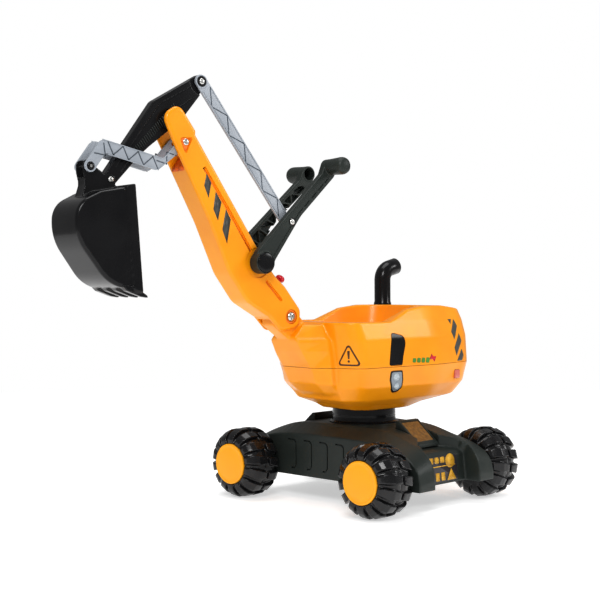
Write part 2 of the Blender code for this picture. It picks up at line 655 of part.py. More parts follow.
def build_boom():
    boom = piece("boom", prism(boom_outline(), -BOOM_HALF_WIDTH, BOOM_HALF_WIDTH), "yellow_plastic",
                 pivot=side_point(BOOM_PIVOT), bevel=0.004, segments=1, sharp=35)
    fork = [(0.5300, 0.8000), (0.4000, 0.8000), (0.4080, 0.6900), (0.4400, 0.6700), (0.4560, 0.6490),
            (0.5300, 0.6400)]
    cut(boom, prism(fork, -FORK_HALF_GAP, FORK_HALF_GAP), "tip_fork")
    cut(boom, cross_rod(BOOM_PIVOT, FOOT_SLOT_RADIUS, -FORK_HALF_GAP, FORK_HALF_GAP, ROUND), "foot_fork")
    cut(boom, cross_rod(BOOM_PIVOT, BOLT_RADIUS + GAP, -0.05, 0.05), "foot_bore")
    cut(boom, cross_rod(LEVER_PIVOT, SHAFT_RADIUS + RUNNING, -0.05, 0.05), "lever_bore")
    cut(boom, cross_rod(LINK_PIVOT, BOLT_RADIUS + GAP, -0.05, 0.05), "link_bore")
    cut(boom, cross_rod(DIPPER_PIVOT, DIPPER_PIN_RADIUS + GAP, -0.0243, 0.0243), "dipper_pin_bore")
    axis = Vector((BUTTON_AXIS[0], 0, BUTTON_AXIS[1]))
    face = Vector((BUTTON_FACE[0], 0, BUTTON_FACE[1]))
    cut(boom, rod(BUTTON_STEM + 0.0004, -0.029, 0.02, SMALL_ROUND, axis, face), "button_bore")
    pivot = side_point(BOOM_PIVOT)
    bolt_and_nut("boom_pivot", BOOM_PIVOT, BOLT_RADIUS, BOOM_HALF_WIDTH, 0.0085, pivot)
    bolt_and_nut("bucket_link_pivot", LINK_PIVOT, BOLT_RADIUS, BOOM_HALF_WIDTH, 0.0060, pivot)
    piece("dipper_pivot_pin", cross_rod(DIPPER_PIVOT, DIPPER_PIN_RADIUS, -0.0240, 0.0240), "zinc_steel",
          pivot=pivot)


def bolt_and_nut(name, centre, radius, half_width, head_radius, pivot):
    """A bolt from the left side with a domed nut on the right."""
    head = half_width + GAP
    profile = [(0, -half_width - 0.0060), (radius, -half_width - 0.0060), (radius, head),
               (head_radius, head), (head_radius, head + 0.0016), (head_radius * 0.6, head + 0.0032),
               (0, head + 0.0032)]
    place = side_point(centre)
    piece(name + "_bolt", turned(profile, SMALL_ROUND, (0, 1, 0), place), "zinc_steel", pivot=pivot)
    nut = [(radius + GAP, GAP), (head_radius, GAP), (head_radius, 0.0030), (head_radius * 0.75, 0.0048),
           (radius + GAP, 0.0048)]
    place = (centre[0], -half_width, centre[1])
    piece(name + "_nut", turned(nut, SMALL_ROUND, (0, -1, 0), place), "zinc_steel", pivot=pivot)


def build_lock_button():
    axis = Vector((BUTTON_AXIS[0], 0, BUTTON_AXIS[1]))
    face = Vector((BUTTON_FACE[0], 0, BUTTON_FACE[1]))
    cap = 0.0115
    profile = [(0, -0.0120), (BUTTON_STEM, -0.0120), (BUTTON_STEM, cap), (0.0082, cap),
               (0.0086, cap + 0.004), (0.0070, cap + 0.0085), (0, cap + 0.0108)]
    piece("lock_button", turned(profile, SMALL_ROUND, axis, face), "red_plastic", pivot=face)
    build_spring(axis, face)


def build_spring(axis, face):
    """Return spring under the stem; it travels with the button."""
    turns = 4
    steps = 8
    sides = 4
    length = 0.0105
    wire = 0.0006
    radius = 0.0040
    count = turns * steps
    frame = Vector((0, 0, 1)).rotation_difference(axis).to_matrix()
    rings = []
    for k in range(count + 1):
        a = 2 * math.pi * k / steps
        out = Vector((math.cos(a), math.sin(a), 0))
        middle = out * radius + Vector((0, 0, -0.0135 - length * k / count))
        ring = []
        for n in range(sides):
            b = 2 * math.pi * n / sides
            edge = out * wire * math.cos(b) + Vector((0, 0, wire * math.sin(b)))
            ring.append(tuple(face + frame @ (middle + edge)))
        rings.append(ring)
    piece("lock_spring", loft(rings), "zinc_steel", pivot=face)


# ---- levers and the link they push -------------------------------------------------------------
LEVER_ARM = [                   # x, z, corner radius, round from the hub's front
    (0.3070, 0.5025, 0.008), (0.1500, 0.6552, 0.012), (0.1410, 0.6790, 0.012), (0.1190, 0.6860, 0.012),
    (0.1100, 0.6660, 0.012), (0.1187, 0.6502, 0.010), (0.2029, 0.5709, 0.080), (0.2650, 0.4867, 0.020),
    (0.2760, 0.4640, 0.012), (0.3070, 0.4620, 0.016), (0.3160, 0.4860, 0.016),
]
RIGHT_LEVER_SAG = math.radians(2.5)    # the right lever hangs a little lower in its play


def swung(point, angle):
    """A point of the side plane turned about the lever pivot."""
    turned_point = Vector(LEVER_PIVOT) + Matrix.Rotation(angle, 2) @ Vector(toward(LEVER_PIVOT, point))
    return (turned_point.x, turned_point.y)


def build_levers():
    pivot = side_point(LEVER_PIVOT)
    for side, sy in (("left", 1), ("right", -1)):
        low, high = sorted((sy * ARM_INNER, sy * ARM_OUTER))
        sag = 0.0 if sy > 0 else RIGHT_LEVER_SAG
        arm = rounded([(*swung((x, z), sag), radius) for x, z, radius in LEVER_ARM], 3)
        grip_at = side_point(swung(GRIP_AXIS, sag))
        lever = piece("lever_" + side, prism(arm, low, high), "dark_plastic", pivot=pivot, bevel=0.002,
                      segments=1)
        hub = [(SHAFT_RADIUS + GAP, HUB_INNER), (0.0205, HUB_INNER), (0.0213, HUB_OUTER - 0.003),
               (0.0213, HUB_OUTER), (0.0190 + GAP, HUB_OUTER), (0.0190 + GAP, HUB_OUTER - 0.004),
               (SHAFT_RADIUS + GAP, HUB_OUTER - 0.004)]
        weld(lever, turned(hub, ROUND, (0, sy, 0), pivot), "hub")
        grip = [(0, 0.0315), (0.0155, 0.0315), (0.0158, 0.050), (0.0172, 0.078), (0.0162, 0.085),
                (0.0115, 0.0905), (0, 0.0925)]
        weld(lever, turned(grip, 20, (0, sy, 0), grip_at), "grip")
        cut(lever, rod(0.0128, 0.030, 0.072, SMALL_ROUND, (0, sy, 0), grip_at), "grip_bore")
        cut(lever, rod(SHAFT_RADIUS + GAP, 0.02, 0.06, SMALL_ROUND, (0, sy, 0), pivot), "shaft_bore")
        cut(lever, rod(PIN_RADIUS + GAP, 0.02, 0.06, SMALL_ROUND, (0, sy, 0), side_point(LOWER_LINK_PIN)),
            "pin_bore")
        cap = [(0, HUB_OUTER - 0.0034), (0.0190, HUB_OUTER - 0.0034), (0.0190, HUB_OUTER + 0.0006),
               (0.0170, HUB_OUTER + 0.0016), (0, HUB_OUTER + 0.0020)]
        piece("lever_cap_" + side, turned(cap, ROUND, (0, sy, 0), pivot), "black_gloss", pivot=pivot)
    reach = HUB_OUTER - 0.0045
    piece("lever_shaft", rod(SHAFT_RADIUS, -reach, reach, SMALL_ROUND, (0, 1, 0), pivot), "zinc_steel",
          pivot=pivot)
    bolt_and_nut("link_lower", LOWER_LINK_PIN, PIN_RADIUS, ARM_OUTER, 0.0060, pivot)


LINK_SIDES = (0.0060, 0.0112)   # the control link is one plate beside the dipper's tail
LINK_LEAN = 0.0180              # it runs out towards the left lever at its lower end
TAIL_REACH = 0.0250             # length of the thinned tail, from its pin


def build_control_link():
    outline = bar(LOWER_LINK_PIN, DIPPER_TAIL, 0.0120, 0.0128)
    pivot = side_point(LOWER_LINK_PIN)
    plate = prism(outline, *LINK_SIDES)
    span = Vector(toward(DIPPER_TAIL, LOWER_LINK_PIN))
    for vert in plate.verts:
        reach = Vector((vert.co.x - DIPPER_TAIL[0], vert.co.z - DIPPER_TAIL[1]))
        vert.co.y += LINK_LEAN * reach.dot(span) / span.length_squared
    link = piece("control_link", plate, "silver_plastic", pivot=pivot, bevel=0.0008, segments=1)
    cut(link, cross_rod(LOWER_LINK_PIN, PIN_RADIUS + RUNNING, -0.05, 0.05), "lower_bore")
    cut(link, cross_rod(DIPPER_TAIL, PIN_RADIUS + RUNNING, -0.05, 0.05), "upper_bore")


# ---- dipper, bucket link and bucket ------------------------------------------------------------
def build_dipper():
    corners = end_corners(DIPPER_TAIL, toward(DIPPER_TAIL, (0.49, 0.76)), 0.0120)
    corners += [(0.4620, 0.7300, 0.0150), (0.4850, 0.7160, 0.0140), (0.5344, 0.6785, 0.30)]
    corners += end_corners(BUCKET_PIVOT, toward(BUCKET_PIVOT, (0.560, 0.675)), 0.0120)
    corners += [(0.5692, 0.6937, 0.10), (0.5130, 0.7700, 0.0200)]
    pivot = side_point(DIPPER_PIVOT)
    dipper = piece("dipper", prism(rounded(corners, 3), -DIPPER_HALF_WIDTH, DIPPER_HALF_WIDTH),
                   "dark_plastic", pivot=pivot, bevel=0.0012, segments=1)
    for sy in (1, -1):
        collar = cross_rod(DIPPER_PIVOT, 0.0150, *sorted((sy * 0.0050, sy * (FORK_HALF_GAP - GAP))), ROUND)
        weld(dipper, collar, f"boss_{sy + 1}")
    cut(dipper, cross_rod(DIPPER_TAIL, TAIL_REACH, LINK_SIDES[0] - 0.0022, 0.03, ROUND), "tail")
    cut(dipper, cross_rod(DIPPER_TAIL, PIN_RADIUS + RUNNING, -0.05, 0.05), "tail_bore")
    cut(dipper, cross_rod(BUCKET_PIVOT, PIN_RADIUS + RUNNING, -0.05, 0.05), "bucket_bore")
    cut(dipper, cross_rod(DIPPER_PIVOT, DIPPER_PIN_RADIUS + RUNNING, -0.05, 0.05), "pivot_bore")
    bolt_and_nut("link_upper", DIPPER_TAIL, PIN_RADIUS, LINK_SIDES[1] + 0.0006, 0.0060, pivot)


def bucket_link_outline():
    """Cranked plate: bucket end, over the elbow, along to the boom end and back underneath."""
    corners = end_corners(LINK_END, toward(LINK_END, (0.6270, 0.6690)), 0.0108)
    corners += [(0.6245, 0.6940, 0.016), (0.4985, 0.6672, 0.006)]
    corners += end_corners(LINK_PIVOT, toward(LINK_PIVOT, (0.4800, 0.6760)), 0.0110)
    corners += [(0.5110, 0.6440, 0.016), (0.6165, 0.6690, 0.004)]
    return rounded(corners, 4)


def build_bucket_link():
    pivot = side_point(LINK_PIVOT)
    outline = bucket_link_outline()
    inner, outer = LINK_PLATE
    for side, sy in (("left", 1), ("right", -1)):
        low, high = sorted((sy * inner, sy * outer))
        plate = piece("bucket_link_" + side, prism(outline, low, high), "silver_plastic",
                      pivot=pivot, bevel=0.0008, segments=1)
        cut(plate, cross_rod(LINK_PIVOT, BOLT_RADIUS + RUNNING, -0.05, 0.05), "boom_bore")
        cut(plate, cross_rod(LINK_END, LINK_END_BORE, -0.05, 0.05), "ear_bore")


BUCKET_WALL = 0.0040
MOUTH_TOP = (0.5805, 0.6125)
MOUTH_BOTTOM = (0.5645, 0.4280)
BACK_HALF_WIDTH = 0.0475
MOUTH_HALF_WIDTH = 0.0560
TEETH = 4
TOOTH_PITCH = 0.0330


def bucket_outline(inset):
    """Bucket side from the mouth's top edge over the back to the lip."""
    corners = [
        (MOUTH_TOP[0], MOUTH_TOP[1] - inset, 0), (0.6430 - inset * 0.5, 0.6010 - inset, 0.018),
        (0.6900 - inset, 0.5780 - inset * 0.5, 0.030), (0.6900 - inset, 0.5200, 0.050),
        (0.6300 - inset * 0.6, 0.4400 + inset * 0.9, 0.050),
        (MOUTH_BOTTOM[0] + 0.010, MOUTH_BOTTOM[1] + inset * 1.1, 0),
        (MOUTH_BOTTOM[0], MOUTH_BOTTOM[1] + inset * 1.1, 0),
    ]
    return rounded(corners, 4)


def bucket_mesh(inset):
    """The bucket's outer or inner solid: narrower at the back than at the mouth."""
    outline = bucket_outline(inset)
    solid = prism(outline, -1.0, 1.0)
    for vert in solid.verts:
        back = min(max((vert.co.x - 0.575) / 0.115, 0.0), 1.0)
        half = MOUTH_HALF_WIDTH + (BACK_HALF_WIDTH - MOUTH_HALF_WIDTH) * back - inset
        vert.co.y *= half
    return solid


def build_bucket():
    pivot = side_point(BUCKET_PIVOT)
    bucket = piece("bucket", bucket_mesh(0.0), "black_gloss", pivot=pivot, sharp=40, bevel=0.004,
                   segments=1)
    for sy in (1, -1):
        low, high = sorted((sy * (DIPPER_HALF_WIDTH + 0.0006), sy * EAR_OUTER))
        ear = [(0.5960, 0.5990, 0), (0.5935, 0.6340, 0.0110), (0.6150, 0.6330, 0.010),
               (0.6330, 0.6440, 0.006),
               (0.6370, 0.6570, 0.010), (0.6590, 0.6570, 0.011), (0.6585, 0.6350, 0.010),
               (0.6535, 0.6150, 0.020), (0.6630, 0.5870, 0)]
        weld(bucket, prism(rounded(ear, 3), low, high), f"ear_{sy + 1}")
    web = [(0.6480, 0.5870), (0.6620, 0.5880), (0.6531, 0.6150), (0.6545, 0.6250), (0.6470, 0.6250),
           (0.6455, 0.6150)]
    weld(bucket, prism(web, -EAR_OUTER + 0.001, EAR_OUTER - 0.001), "ear_web")
    hollow = bucket_mesh(BUCKET_WALL)
    for vert in hollow.verts:
        if vert.co.x < MOUTH_TOP[0] + 0.001:
            vert.co.x -= 0.03
    cut(bucket, hollow, "inside")
    for i in range(TEETH):
        y = TOOTH_PITCH * (i - (TEETH - 1) / 2)
        tooth = [(0.5900, 0.4330), (0.5900, 0.4385), (0.5750, 0.4325), (0.5565, 0.4200), (0.5545, 0.4165)]
        weld(bucket, prism(tooth, y - 0.0070, y + 0.0070), f"tooth_{i}")
    for label, centre in (("pivot_bore", BUCKET_PIVOT), ("link_bore", LINK_END)):
        cut(bucket, cross_rod(centre, PIN_RADIUS + GAP, -0.05, 0.05), label)
    bolt_and_nut("bucket_pivot", BUCKET_PIVOT, PIN_RADIUS, EAR_OUTER, 0.0055, pivot)
    pin = cross_rod(LINK_END, PIN_RADIUS, -0.0215, 0.0215)
    piece("bucket_link_pin", pin, "zinc_steel", pivot=pivot)


build_chassis()
build_wheels()
build_turret()
build_boom()
build_lock_button()
build_levers()
build_control_link()
build_dipper()
build_bucket_link()
build_bucket()
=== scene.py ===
"""Looks of the ride-on toy excavator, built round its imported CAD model.

Shapes are drawn in the excavator's own side plane, as X forward from the slew axis, Y to the
driver's left and Z up from the floor, in metres, and then moved to the slew axis.
"""

import json
import math

import bmesh
import bpy
from mathutils import Matrix, Vector
from mathutils.bvhtree import BVHTree


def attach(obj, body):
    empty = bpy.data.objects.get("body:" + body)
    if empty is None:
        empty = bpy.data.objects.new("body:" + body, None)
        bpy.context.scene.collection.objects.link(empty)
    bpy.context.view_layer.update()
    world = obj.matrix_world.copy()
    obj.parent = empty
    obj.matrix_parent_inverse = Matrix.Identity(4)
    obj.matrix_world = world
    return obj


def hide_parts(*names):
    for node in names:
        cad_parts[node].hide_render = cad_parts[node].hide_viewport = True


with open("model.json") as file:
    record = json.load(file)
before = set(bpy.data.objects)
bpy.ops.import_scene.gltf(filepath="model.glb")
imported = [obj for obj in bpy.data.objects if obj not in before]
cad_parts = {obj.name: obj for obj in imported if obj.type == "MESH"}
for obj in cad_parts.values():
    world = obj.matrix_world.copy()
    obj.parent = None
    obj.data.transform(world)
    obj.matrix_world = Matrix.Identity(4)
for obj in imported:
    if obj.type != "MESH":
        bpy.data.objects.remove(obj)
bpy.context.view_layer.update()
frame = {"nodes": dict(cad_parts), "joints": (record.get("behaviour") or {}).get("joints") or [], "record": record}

# ---- places, from the frame's own joints -------------------------------------------------------
JOINTS = {joint["name"]: joint for joint in frame["joints"]}
SLEW = Vector((JOINTS["turret_slew"]["pos_m"][0], 0, 0))


def pivot_of(joint):
    """A joint's pivot in the side plane, from the slew axis."""
    x, _, z = JOINTS[joint]["pos_m"]
    return (x - SLEW.x, z)


BOOM_PIVOT = pivot_of("boom_lift")
LEVER_PIVOT = pivot_of("lever_swing")
DIPPER_PIVOT = pivot_of("dipper_swing")
LOWER_LINK_PIN = pivot_of("control_link_swing")
LINK_PIVOT = pivot_of("bucket_link_swing")
BUCKET_PIVOT = pivot_of("bucket_curl")
CRANK = (LOWER_LINK_PIN[0] - LEVER_PIVOT[0], LOWER_LINK_PIN[1] - LEVER_PIVOT[1])
DIPPER_TAIL = (DIPPER_PIVOT[0] + CRANK[0], DIPPER_PIVOT[1] + CRANK[1])
LINK_END = (0.6469, 0.645)
GRIP_AXIS = (0.1265, 0.6702)
AXLE = Vector(JOINTS["wheel_front_left_spin"]["axis"])
CHASSIS_TURN = math.atan2(AXLE.y, AXLE.x) - math.pi / 2
WHEEL_Z = JOINTS["wheel_front_left_spin"]["pos_m"][2]
WHEEL_BASE = 0.356
HUB_SPAN = 0.43
SEAM_Z = 0.275
SIDES = (("left", 1), ("right", -1))
ENDS = (("front", 1), ("rear", -1))


# ---- materials ---------------------------------------------------------------------------------
GLOSS_SPREAD = (0.85, 1.2)      # share of the roughness where the drift is low and high
GRAIN_HEIGHT = 0.0004
COAT_ROUGHNESS = 0.08


def add_node(tree, kind, **values):
    """A shader node with some of its inputs set; an underscore in a name stands for a space."""
    made = tree.nodes.new(kind)
    for name, value in values.items():
        made.inputs[name.replace("_", " ")].default_value = value
    return made


def plastic(name, colour, shade, roughness, grain=900.0, bump=0.05, coat=0.0, specular=0.5, metallic=0.0,
            mottle=14.0):
    """Moulded plastic: a slow drift between two tones, uneven gloss and a fine surface grain."""
    made = bpy.data.materials.new(name)
    made.use_nodes = True
    tree = made.node_tree
    shader = tree.nodes["Principled BSDF"]
    where = add_node(tree, "ShaderNodeTexCoord")
    drift = add_node(tree, "ShaderNodeTexNoise", Scale=mottle, Detail=3.0)
    fine = add_node(tree, "ShaderNodeTexNoise", Scale=grain, Detail=2.0)
    tones = add_node(tree, "ShaderNodeValToRGB")
    gloss = add_node(tree, "ShaderNodeMapRange", To_Min=roughness * GLOSS_SPREAD[0],
                     To_Max=roughness * GLOSS_SPREAD[1])
    relief = add_node(tree, "ShaderNodeBump", Strength=bump, Distance=GRAIN_HEIGHT)
    for element, position, tone in zip(tones.color_ramp.elements, (0.35, 0.65), (shade, colour)):
        element.position = position
        element.color = (*tone, 1.0)
    wires = (
        (where, "Object", drift, "Vector"), (where, "Object", fine, "Vector"), (drift, "Fac", tones, "Fac"),
        (drift, "Fac", gloss, "Value"), (fine, "Fac", relief, "Height"),
        (tones, "Color", shader, "Base Color"), (gloss, "Result", shader, "Roughness"),
        (relief, "Normal", shader, "Normal"),
    )
    for source, output, target, socket in wires:
        tree.links.new(source.outputs[output], target.inputs[socket])
    shader.inputs["Metallic"].default_value = metallic
    shader.inputs["Coat Weight"].default_value = coat
    shader.inputs["Coat Roughness"].default_value = COAT_ROUGHNESS
    shader.inputs["Specular IOR Level"].default_value = specular
    return made


YELLOW = plastic("yellow_plastic", (0.96, 0.37, 0.004), (0.93, 0.335, 0.003), 0.33, coat=0.1, specular=0.4)
# painted shade: a red-orange for the bottoms of the boom's grooves and recesses, where shade falls
GROOVE_SHADE = plastic("groove_orange_plastic", (0.92, 0.24, 0.008), (0.87, 0.2, 0.006), 0.4)
# painted shade: a deep orange for the shade between the boom's fork cheeks
FORK_SHADE_ORANGE = plastic("deep_orange_plastic", (0.9, 0.16, 0.006), (0.85, 0.13, 0.005), 0.4)
CAP_YELLOW = plastic("hub_yellow_plastic", (0.98, 0.44, 0.004), (0.96, 0.41, 0.004), 0.42, bump=0.12)
CHARCOAL = plastic("charcoal_plastic", (0.03, 0.037, 0.033), (0.022, 0.028, 0.025), 0.4, grain=1400.0,
                   bump=0.16, specular=0.32)
BLACK = plastic("black_gloss_plastic", (0.01, 0.01, 0.011), (0.006, 0.006, 0.007), 0.2, bump=0.04,
                coat=0.1, specular=0.26)
TYRE_BLACK = plastic("tyre_black_plastic", (0.012, 0.012, 0.013), (0.007, 0.007, 0.008), 0.22, bump=0.08,
                     coat=0.2, specular=0.36, mottle=40.0)
SILVER = plastic("silver_plastic", (0.4, 0.43, 0.47), (0.34, 0.37, 0.41), 0.38, bump=0.02)
# painted shadow: a dark grey for the shadow lines along the links' truss ribs
RIB_SHADOW_GREY = plastic("rib_grey_plastic", (0.1, 0.12, 0.15), (0.07, 0.09, 0.11), 0.4)
ZINC = plastic("zinc_steel", (0.72, 0.72, 0.7), (0.6, 0.6, 0.58), 0.26, grain=300.0, metallic=1.0)
RED = plastic("red_plastic", (0.66, 0.012, 0.03), (0.58, 0.01, 0.022), 0.28, coat=0.3)
TAIL_RED = plastic("tail_lamp_red", (0.72, 0.2, 0.16), (0.66, 0.13, 0.1), 0.25, coat=0.4)
STRIPE = plastic("stripe_print", (0.075, 0.075, 0.068), (0.06, 0.06, 0.054), 0.38)
LINE_PRINT = plastic("line_print", (0.085, 0.03, 0.006), (0.06, 0.022, 0.005), 0.4)
LAMP = plastic("lamp_grey", (0.26, 0.3, 0.34), (0.2, 0.24, 0.27), 0.28, coat=0.3)
LENS = plastic("lamp_lens", (0.62, 0.68, 0.72), (0.42, 0.48, 0.52), 0.12, coat=0.6, mottle=220.0)
GREEN = plastic("green_print", (0.1, 0.3, 0.03), (0.08, 0.25, 0.025), 0.4)
LABEL_YELLOW = plastic("label_yellow_print", (0.72, 0.42, 0.04), (0.5, 0.26, 0.016), 0.42, mottle=90.0)
PANEL_GREY = plastic("label_plate", (0.055, 0.05, 0.06), (0.04, 0.036, 0.044), 0.35)
# painted reflection: an ochre for the orange reflections in the ribbed step-pad inserts
OCHRE_REFLECTION = plastic("ochre_insert", (0.26, 0.125, 0.02), (0.15, 0.07, 0.012), 0.42, bump=0.2, mottle=160.0)

NODE_LOOKS = {"zinc_steel": ZINC, "dark_plastic": CHARCOAL, "black_gloss": BLACK, "yellow_plastic": YELLOW,
              "silver_plastic": SILVER, "red_plastic": RED, "lamp_grey": LAMP}
SLOT_OF = {part["node"]: part["material_slot"] for part in frame["record"]["subparts"]}
for node, obj in frame["nodes"].items():
    obj.data.materials.clear()
    obj.data.materials.append(NODE_LOOKS[SLOT_OF[node]])


# ---- outlines in the side plane ----------------------------------------------------------------
THIN_BAR = 0.004                # a bar no thicker than this gets fewer points on its round ends


def arc(here, back, ahead, radius, steps):
    """The fillet of a corner, from the unit directions back and ahead that leave it."""
    half = 0.5 * back.angle(ahead)
    centre = here + (back + ahead).normalized() * (radius / math.sin(half))
    start = here + back * (radius / math.tan(half)) - centre
    end = here + ahead * (radius / math.tan(half)) - centre
    sweep = start.angle_signed(end)
    return [centre + Matrix.Rotation(-sweep * k / steps, 2) @ start for k in range(steps + 1)]


def rounded(corners, steps=8, shortest=0.0002):
    """A polygon from (x, z, fillet radius) corners, each corner turned on an arc."""
    points = []
    count = len(corners)
    for i, (x, z, radius) in enumerate(corners):
        here = Vector((x, z))
        if radius <= 0.0:
            points.append(here)
            continue
        back = Vector(corners[i - 1][:2]) - here
        ahead = Vector(corners[(i + 1) % count][:2]) - here
        room = 0.49 * min(back.length, ahead.length)
        back.normalize()
        ahead.normalize()
        radius = min(radius, room * math.tan(0.5 * back.angle(ahead)))
        points += arc(here, back, ahead, radius, steps)
    return [(p.x, p.y) for i, p in enumerate(points) if (p - points[i - 1]).length > shortest]


def end_corners(pivot, inward, radius):
    """Two corners, filleted to a half circle, that close a bar round its pivot."""
    along = Vector(inward).normalized() * radius
    across = Vector((-along.y, along.x))
    first = Vector(pivot) - along + across
    second = Vector(pivot) - along - across
    return [(first.x, first.y, radius), (second.x, second.y, radius)]


def toward(start, end):
    return (end[0] - start[0], end[1] - start[1])


def bar(start, end, start_radius, end_radius=None):
    """A straight outline with a round end about each point."""
    corners = end_corners(start, toward(start, end), start_radius)
    corners += end_corners(end, toward(end, start), end_radius or start_radius)
    return rounded(corners, 8 if start_radius > THIN_BAR else 3, start_radius * 0.02)


def ribbon(corners, half, steps=6):
    """A narrow band along a path of (x, z, fillet radius) points."""
    path = []
    for i, (x, z, radius) in enumerate(corners):
        here = Vector((x, z))
        if i in (0, len(corners) - 1) or radius <= 0:
            path.append(here)
            continue
        back = (Vector(corners[i - 1][:2]) - here).normalized()
        ahead = (Vector(corners[i + 1][:2]) - here).normalized()
        path += arc(here, back, ahead, radius, steps)
    left = []
    right = []
    for i, here in enumerate(path):
        way = (path[min(i + 1, len(path) - 1)] - path[max(i - 1, 0)]).normalized()
        across = Vector((-way.y, way.x)) * half
        left.append(here + across)
        right.append(here - across)
    return [tuple(p) for p in left + list(reversed(right))]


def disc(centre, radius, sides=48):
    turns = [2 * math.pi * k / sides for k in range(sides)]
    return [(centre[0] + radius * math.cos(a), centre[1] + radius * math.sin(a)) for a in turns]


# ---- solids ------------------------------------------------------------------------------------
def outward(mesh):
    """Face normals out, whichever way the outline ran."""
    bmesh.ops.recalc_face_normals(mesh, faces=mesh.faces)
    if mesh.calc_volume(signed=True) < 0:
        bmesh.ops.reverse_faces(mesh, faces=mesh.faces)
    return mesh


def slab(near_points, far_points):
    """A closed solid between two outlines of equal length."""
    mesh = bmesh.new()
    near = [mesh.verts.new(point) for point in near_points]
    far = [mesh.verts.new(point) for point in far_points]
    mesh.faces.new(near)
    mesh.faces.new(list(reversed(far)))
    for i in range(len(near)):
        j = (i + 1) % len(near)
        mesh.faces.new((near[j], near[i], far[i], far[j]))
    return outward(mesh)


def prism(outline, low, high):
    """An outline of the side plane, extruded across the toy from Y = low to Y = high."""
    return slab([(x, low, z) for x, z in outline], [(x, high, z) for x, z in outline])


def sided(outline, sy, low, high):
    """A prism between two distances from the middle plane, on one side of it."""
    return prism(outline, *sorted((sy * low, sy * high)))


def loft(rings):
    """A closed solid through rings of equal length, with flat ends."""
    mesh = bmesh.new()
    rows = [[mesh.verts.new(p) for p in ring] for ring in rings]
    for lower, upper in zip(rows, rows[1:]):
        for i in range(len(lower)):
            j = (i + 1) % len(lower)
            mesh.faces.new((lower[i], lower[j], upper[j], upper[i]))
    mesh.faces.new(list(reversed(rows[0])))
    mesh.faces.new(rows[-1])
    return outward(mesh)


def turned(profile, sides, axis, place):
    """A profile of (radius, height) points turned about an axis; closed on the axis or on itself."""
    mesh = bmesh.new()
    turn = Vector((0, 0, 1)).rotation_difference(Vector(axis)).to_matrix().to_4x4()
    place = Matrix.Translation(place) @ turn
    rows = []
    for radius, height in profile:
        if radius < 1e-9:
            rows.append([mesh.verts.new(place @ Vector((0, 0, height)))])
            continue
        row = []
        for k in range(sides):
            a = 2 * math.pi * k / sides
            row.append(mesh.verts.new(place @ Vector((radius * math.cos(a), radius * math.sin(a), height))))
        rows.append(row)
    pairs = list(zip(rows, rows[1:]))
    if len(rows[0]) > 1:
        pairs.append((rows[-1], rows[0]))
    for a, b in pairs:
        for k in range(sides):
            n = (k + 1) % sides
            if len(a) == 1 and len(b) == 1:
                break
            if len(a) == 1:
                mesh.faces.new((a[0], b[k], b[n]))
            elif len(b) == 1:
                mesh.faces.new((a[k], b[0], a[n]))
            else:
                mesh.faces.new((a[k], b[k], b[n], a[n]))
    return outward(mesh)


def spun(profile, sides, sy, pivot, y=0.0):
    """A profile turned about the axis across the toy through a pivot; heights grow to the sy side."""
    return turned(profile, sides, (0, sy, 0), (pivot[0], y, pivot[1]))


def rod(radius, low, high, axis, place, sides=48):
    return turned([(0, low), (radius, low), (radius, high), (0, high)], sides, axis, place)


def cross_rod(pivot, radius, low, high, sides=48):
    """A round bar across the toy through a pivot of the side plane."""
    return rod(radius, low, high, (0, 1, 0), (pivot[0], 0, pivot[1]), sides)


def joined(meshes):
    """Several solids in one mesh."""
    whole = bmesh.new()
    for mesh in meshes:
        copy = bpy.data.meshes.new("part")
        mesh.to_mesh(copy)
        mesh.free()
        whole.from_mesh(copy)
        bpy.data.meshes.remove(copy)
    return whole


def to_object(name, mesh):
    """An object from a solid, which is used up."""
    data = bpy.data.meshes.new(name)
    mesh.to_mesh(data)
    mesh.free()
    made = bpy.data.objects.new(name, data)
    bpy.context.scene.collection.objects.link(made)
    return made


def taken(obj):
    """The solid of an object; the object itself goes."""
    mesh = bmesh.new()
    mesh.from_mesh(obj.data)
    bpy.data.objects.remove(obj)
    return mesh


def thickened(sheet, way):
    """A thin closed solid from an open sheet, extruded along a vector."""
    extra = bmesh.ops.extrude_face_region(sheet, geom=sheet.faces[:])
    moved = [v for v in extra["geom"] if isinstance(v, bmesh.types.BMVert)]
    bmesh.ops.translate(sheet, vec=way, verts=moved)
    return outward(sheet)


def settle(obj):
    """Applies an object's modifiers to its mesh."""
    graph = bpy.context.evaluated_depsgraph_get()
    data = bpy.data.meshes.new_from_object(obj.evaluated_get(graph))
    obj.modifiers.clear()
    obj.data = data
    return obj


def carve(obj, cutters):
    """Takes solids away from an object."""
    for mesh in cutters:
        cutter = to_object("cutter", mesh)
        step = obj.modifiers.new("carve", "BOOLEAN")
        step.operation = "DIFFERENCE"
        step.solver = "EXACT"
        step.object = cutter
        settle(obj)
        bpy.data.objects.remove(cutter)
    return obj


def moulded(obj, voxel, rounds):
    """Rounds every edge the way a moulding is round: an even remesh, then a smoothing."""
    remesh = obj.modifiers.new("even", "REMESH")
    remesh.mode = "VOXEL"
    remesh.voxel_size = voxel * 1.0
    smooth = obj.modifiers.new("soft", "SMOOTH")
    smooth.factor = 0.5
    smooth.iterations = rounds
    return settle(obj)


def show(obj, look, slot, body, nodes=(), sharp=None, turn=0.0):
    """Dresses a finished piece, puts it at the slew axis and makes it ride on its body."""
    obj.data.materials.clear()
    obj.data.materials.append(look)
    obj.data.shade_smooth()
    if sharp:
        obj.data.set_sharp_from_angle(angle=math.radians(sharp))
    obj.data.transform(Matrix.Translation(SLEW) @ Matrix.Rotation(turn, 4, "Z"))
    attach(obj, body)
    if nodes:
        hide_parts(*nodes)
    return obj


def put(name, mesh, look, slot, body, nodes=(), sharp=None, turn=0.0):
    """Shows a solid that needs no more work."""
    return show(to_object(name, mesh), look, slot, body, nodes, sharp, turn)


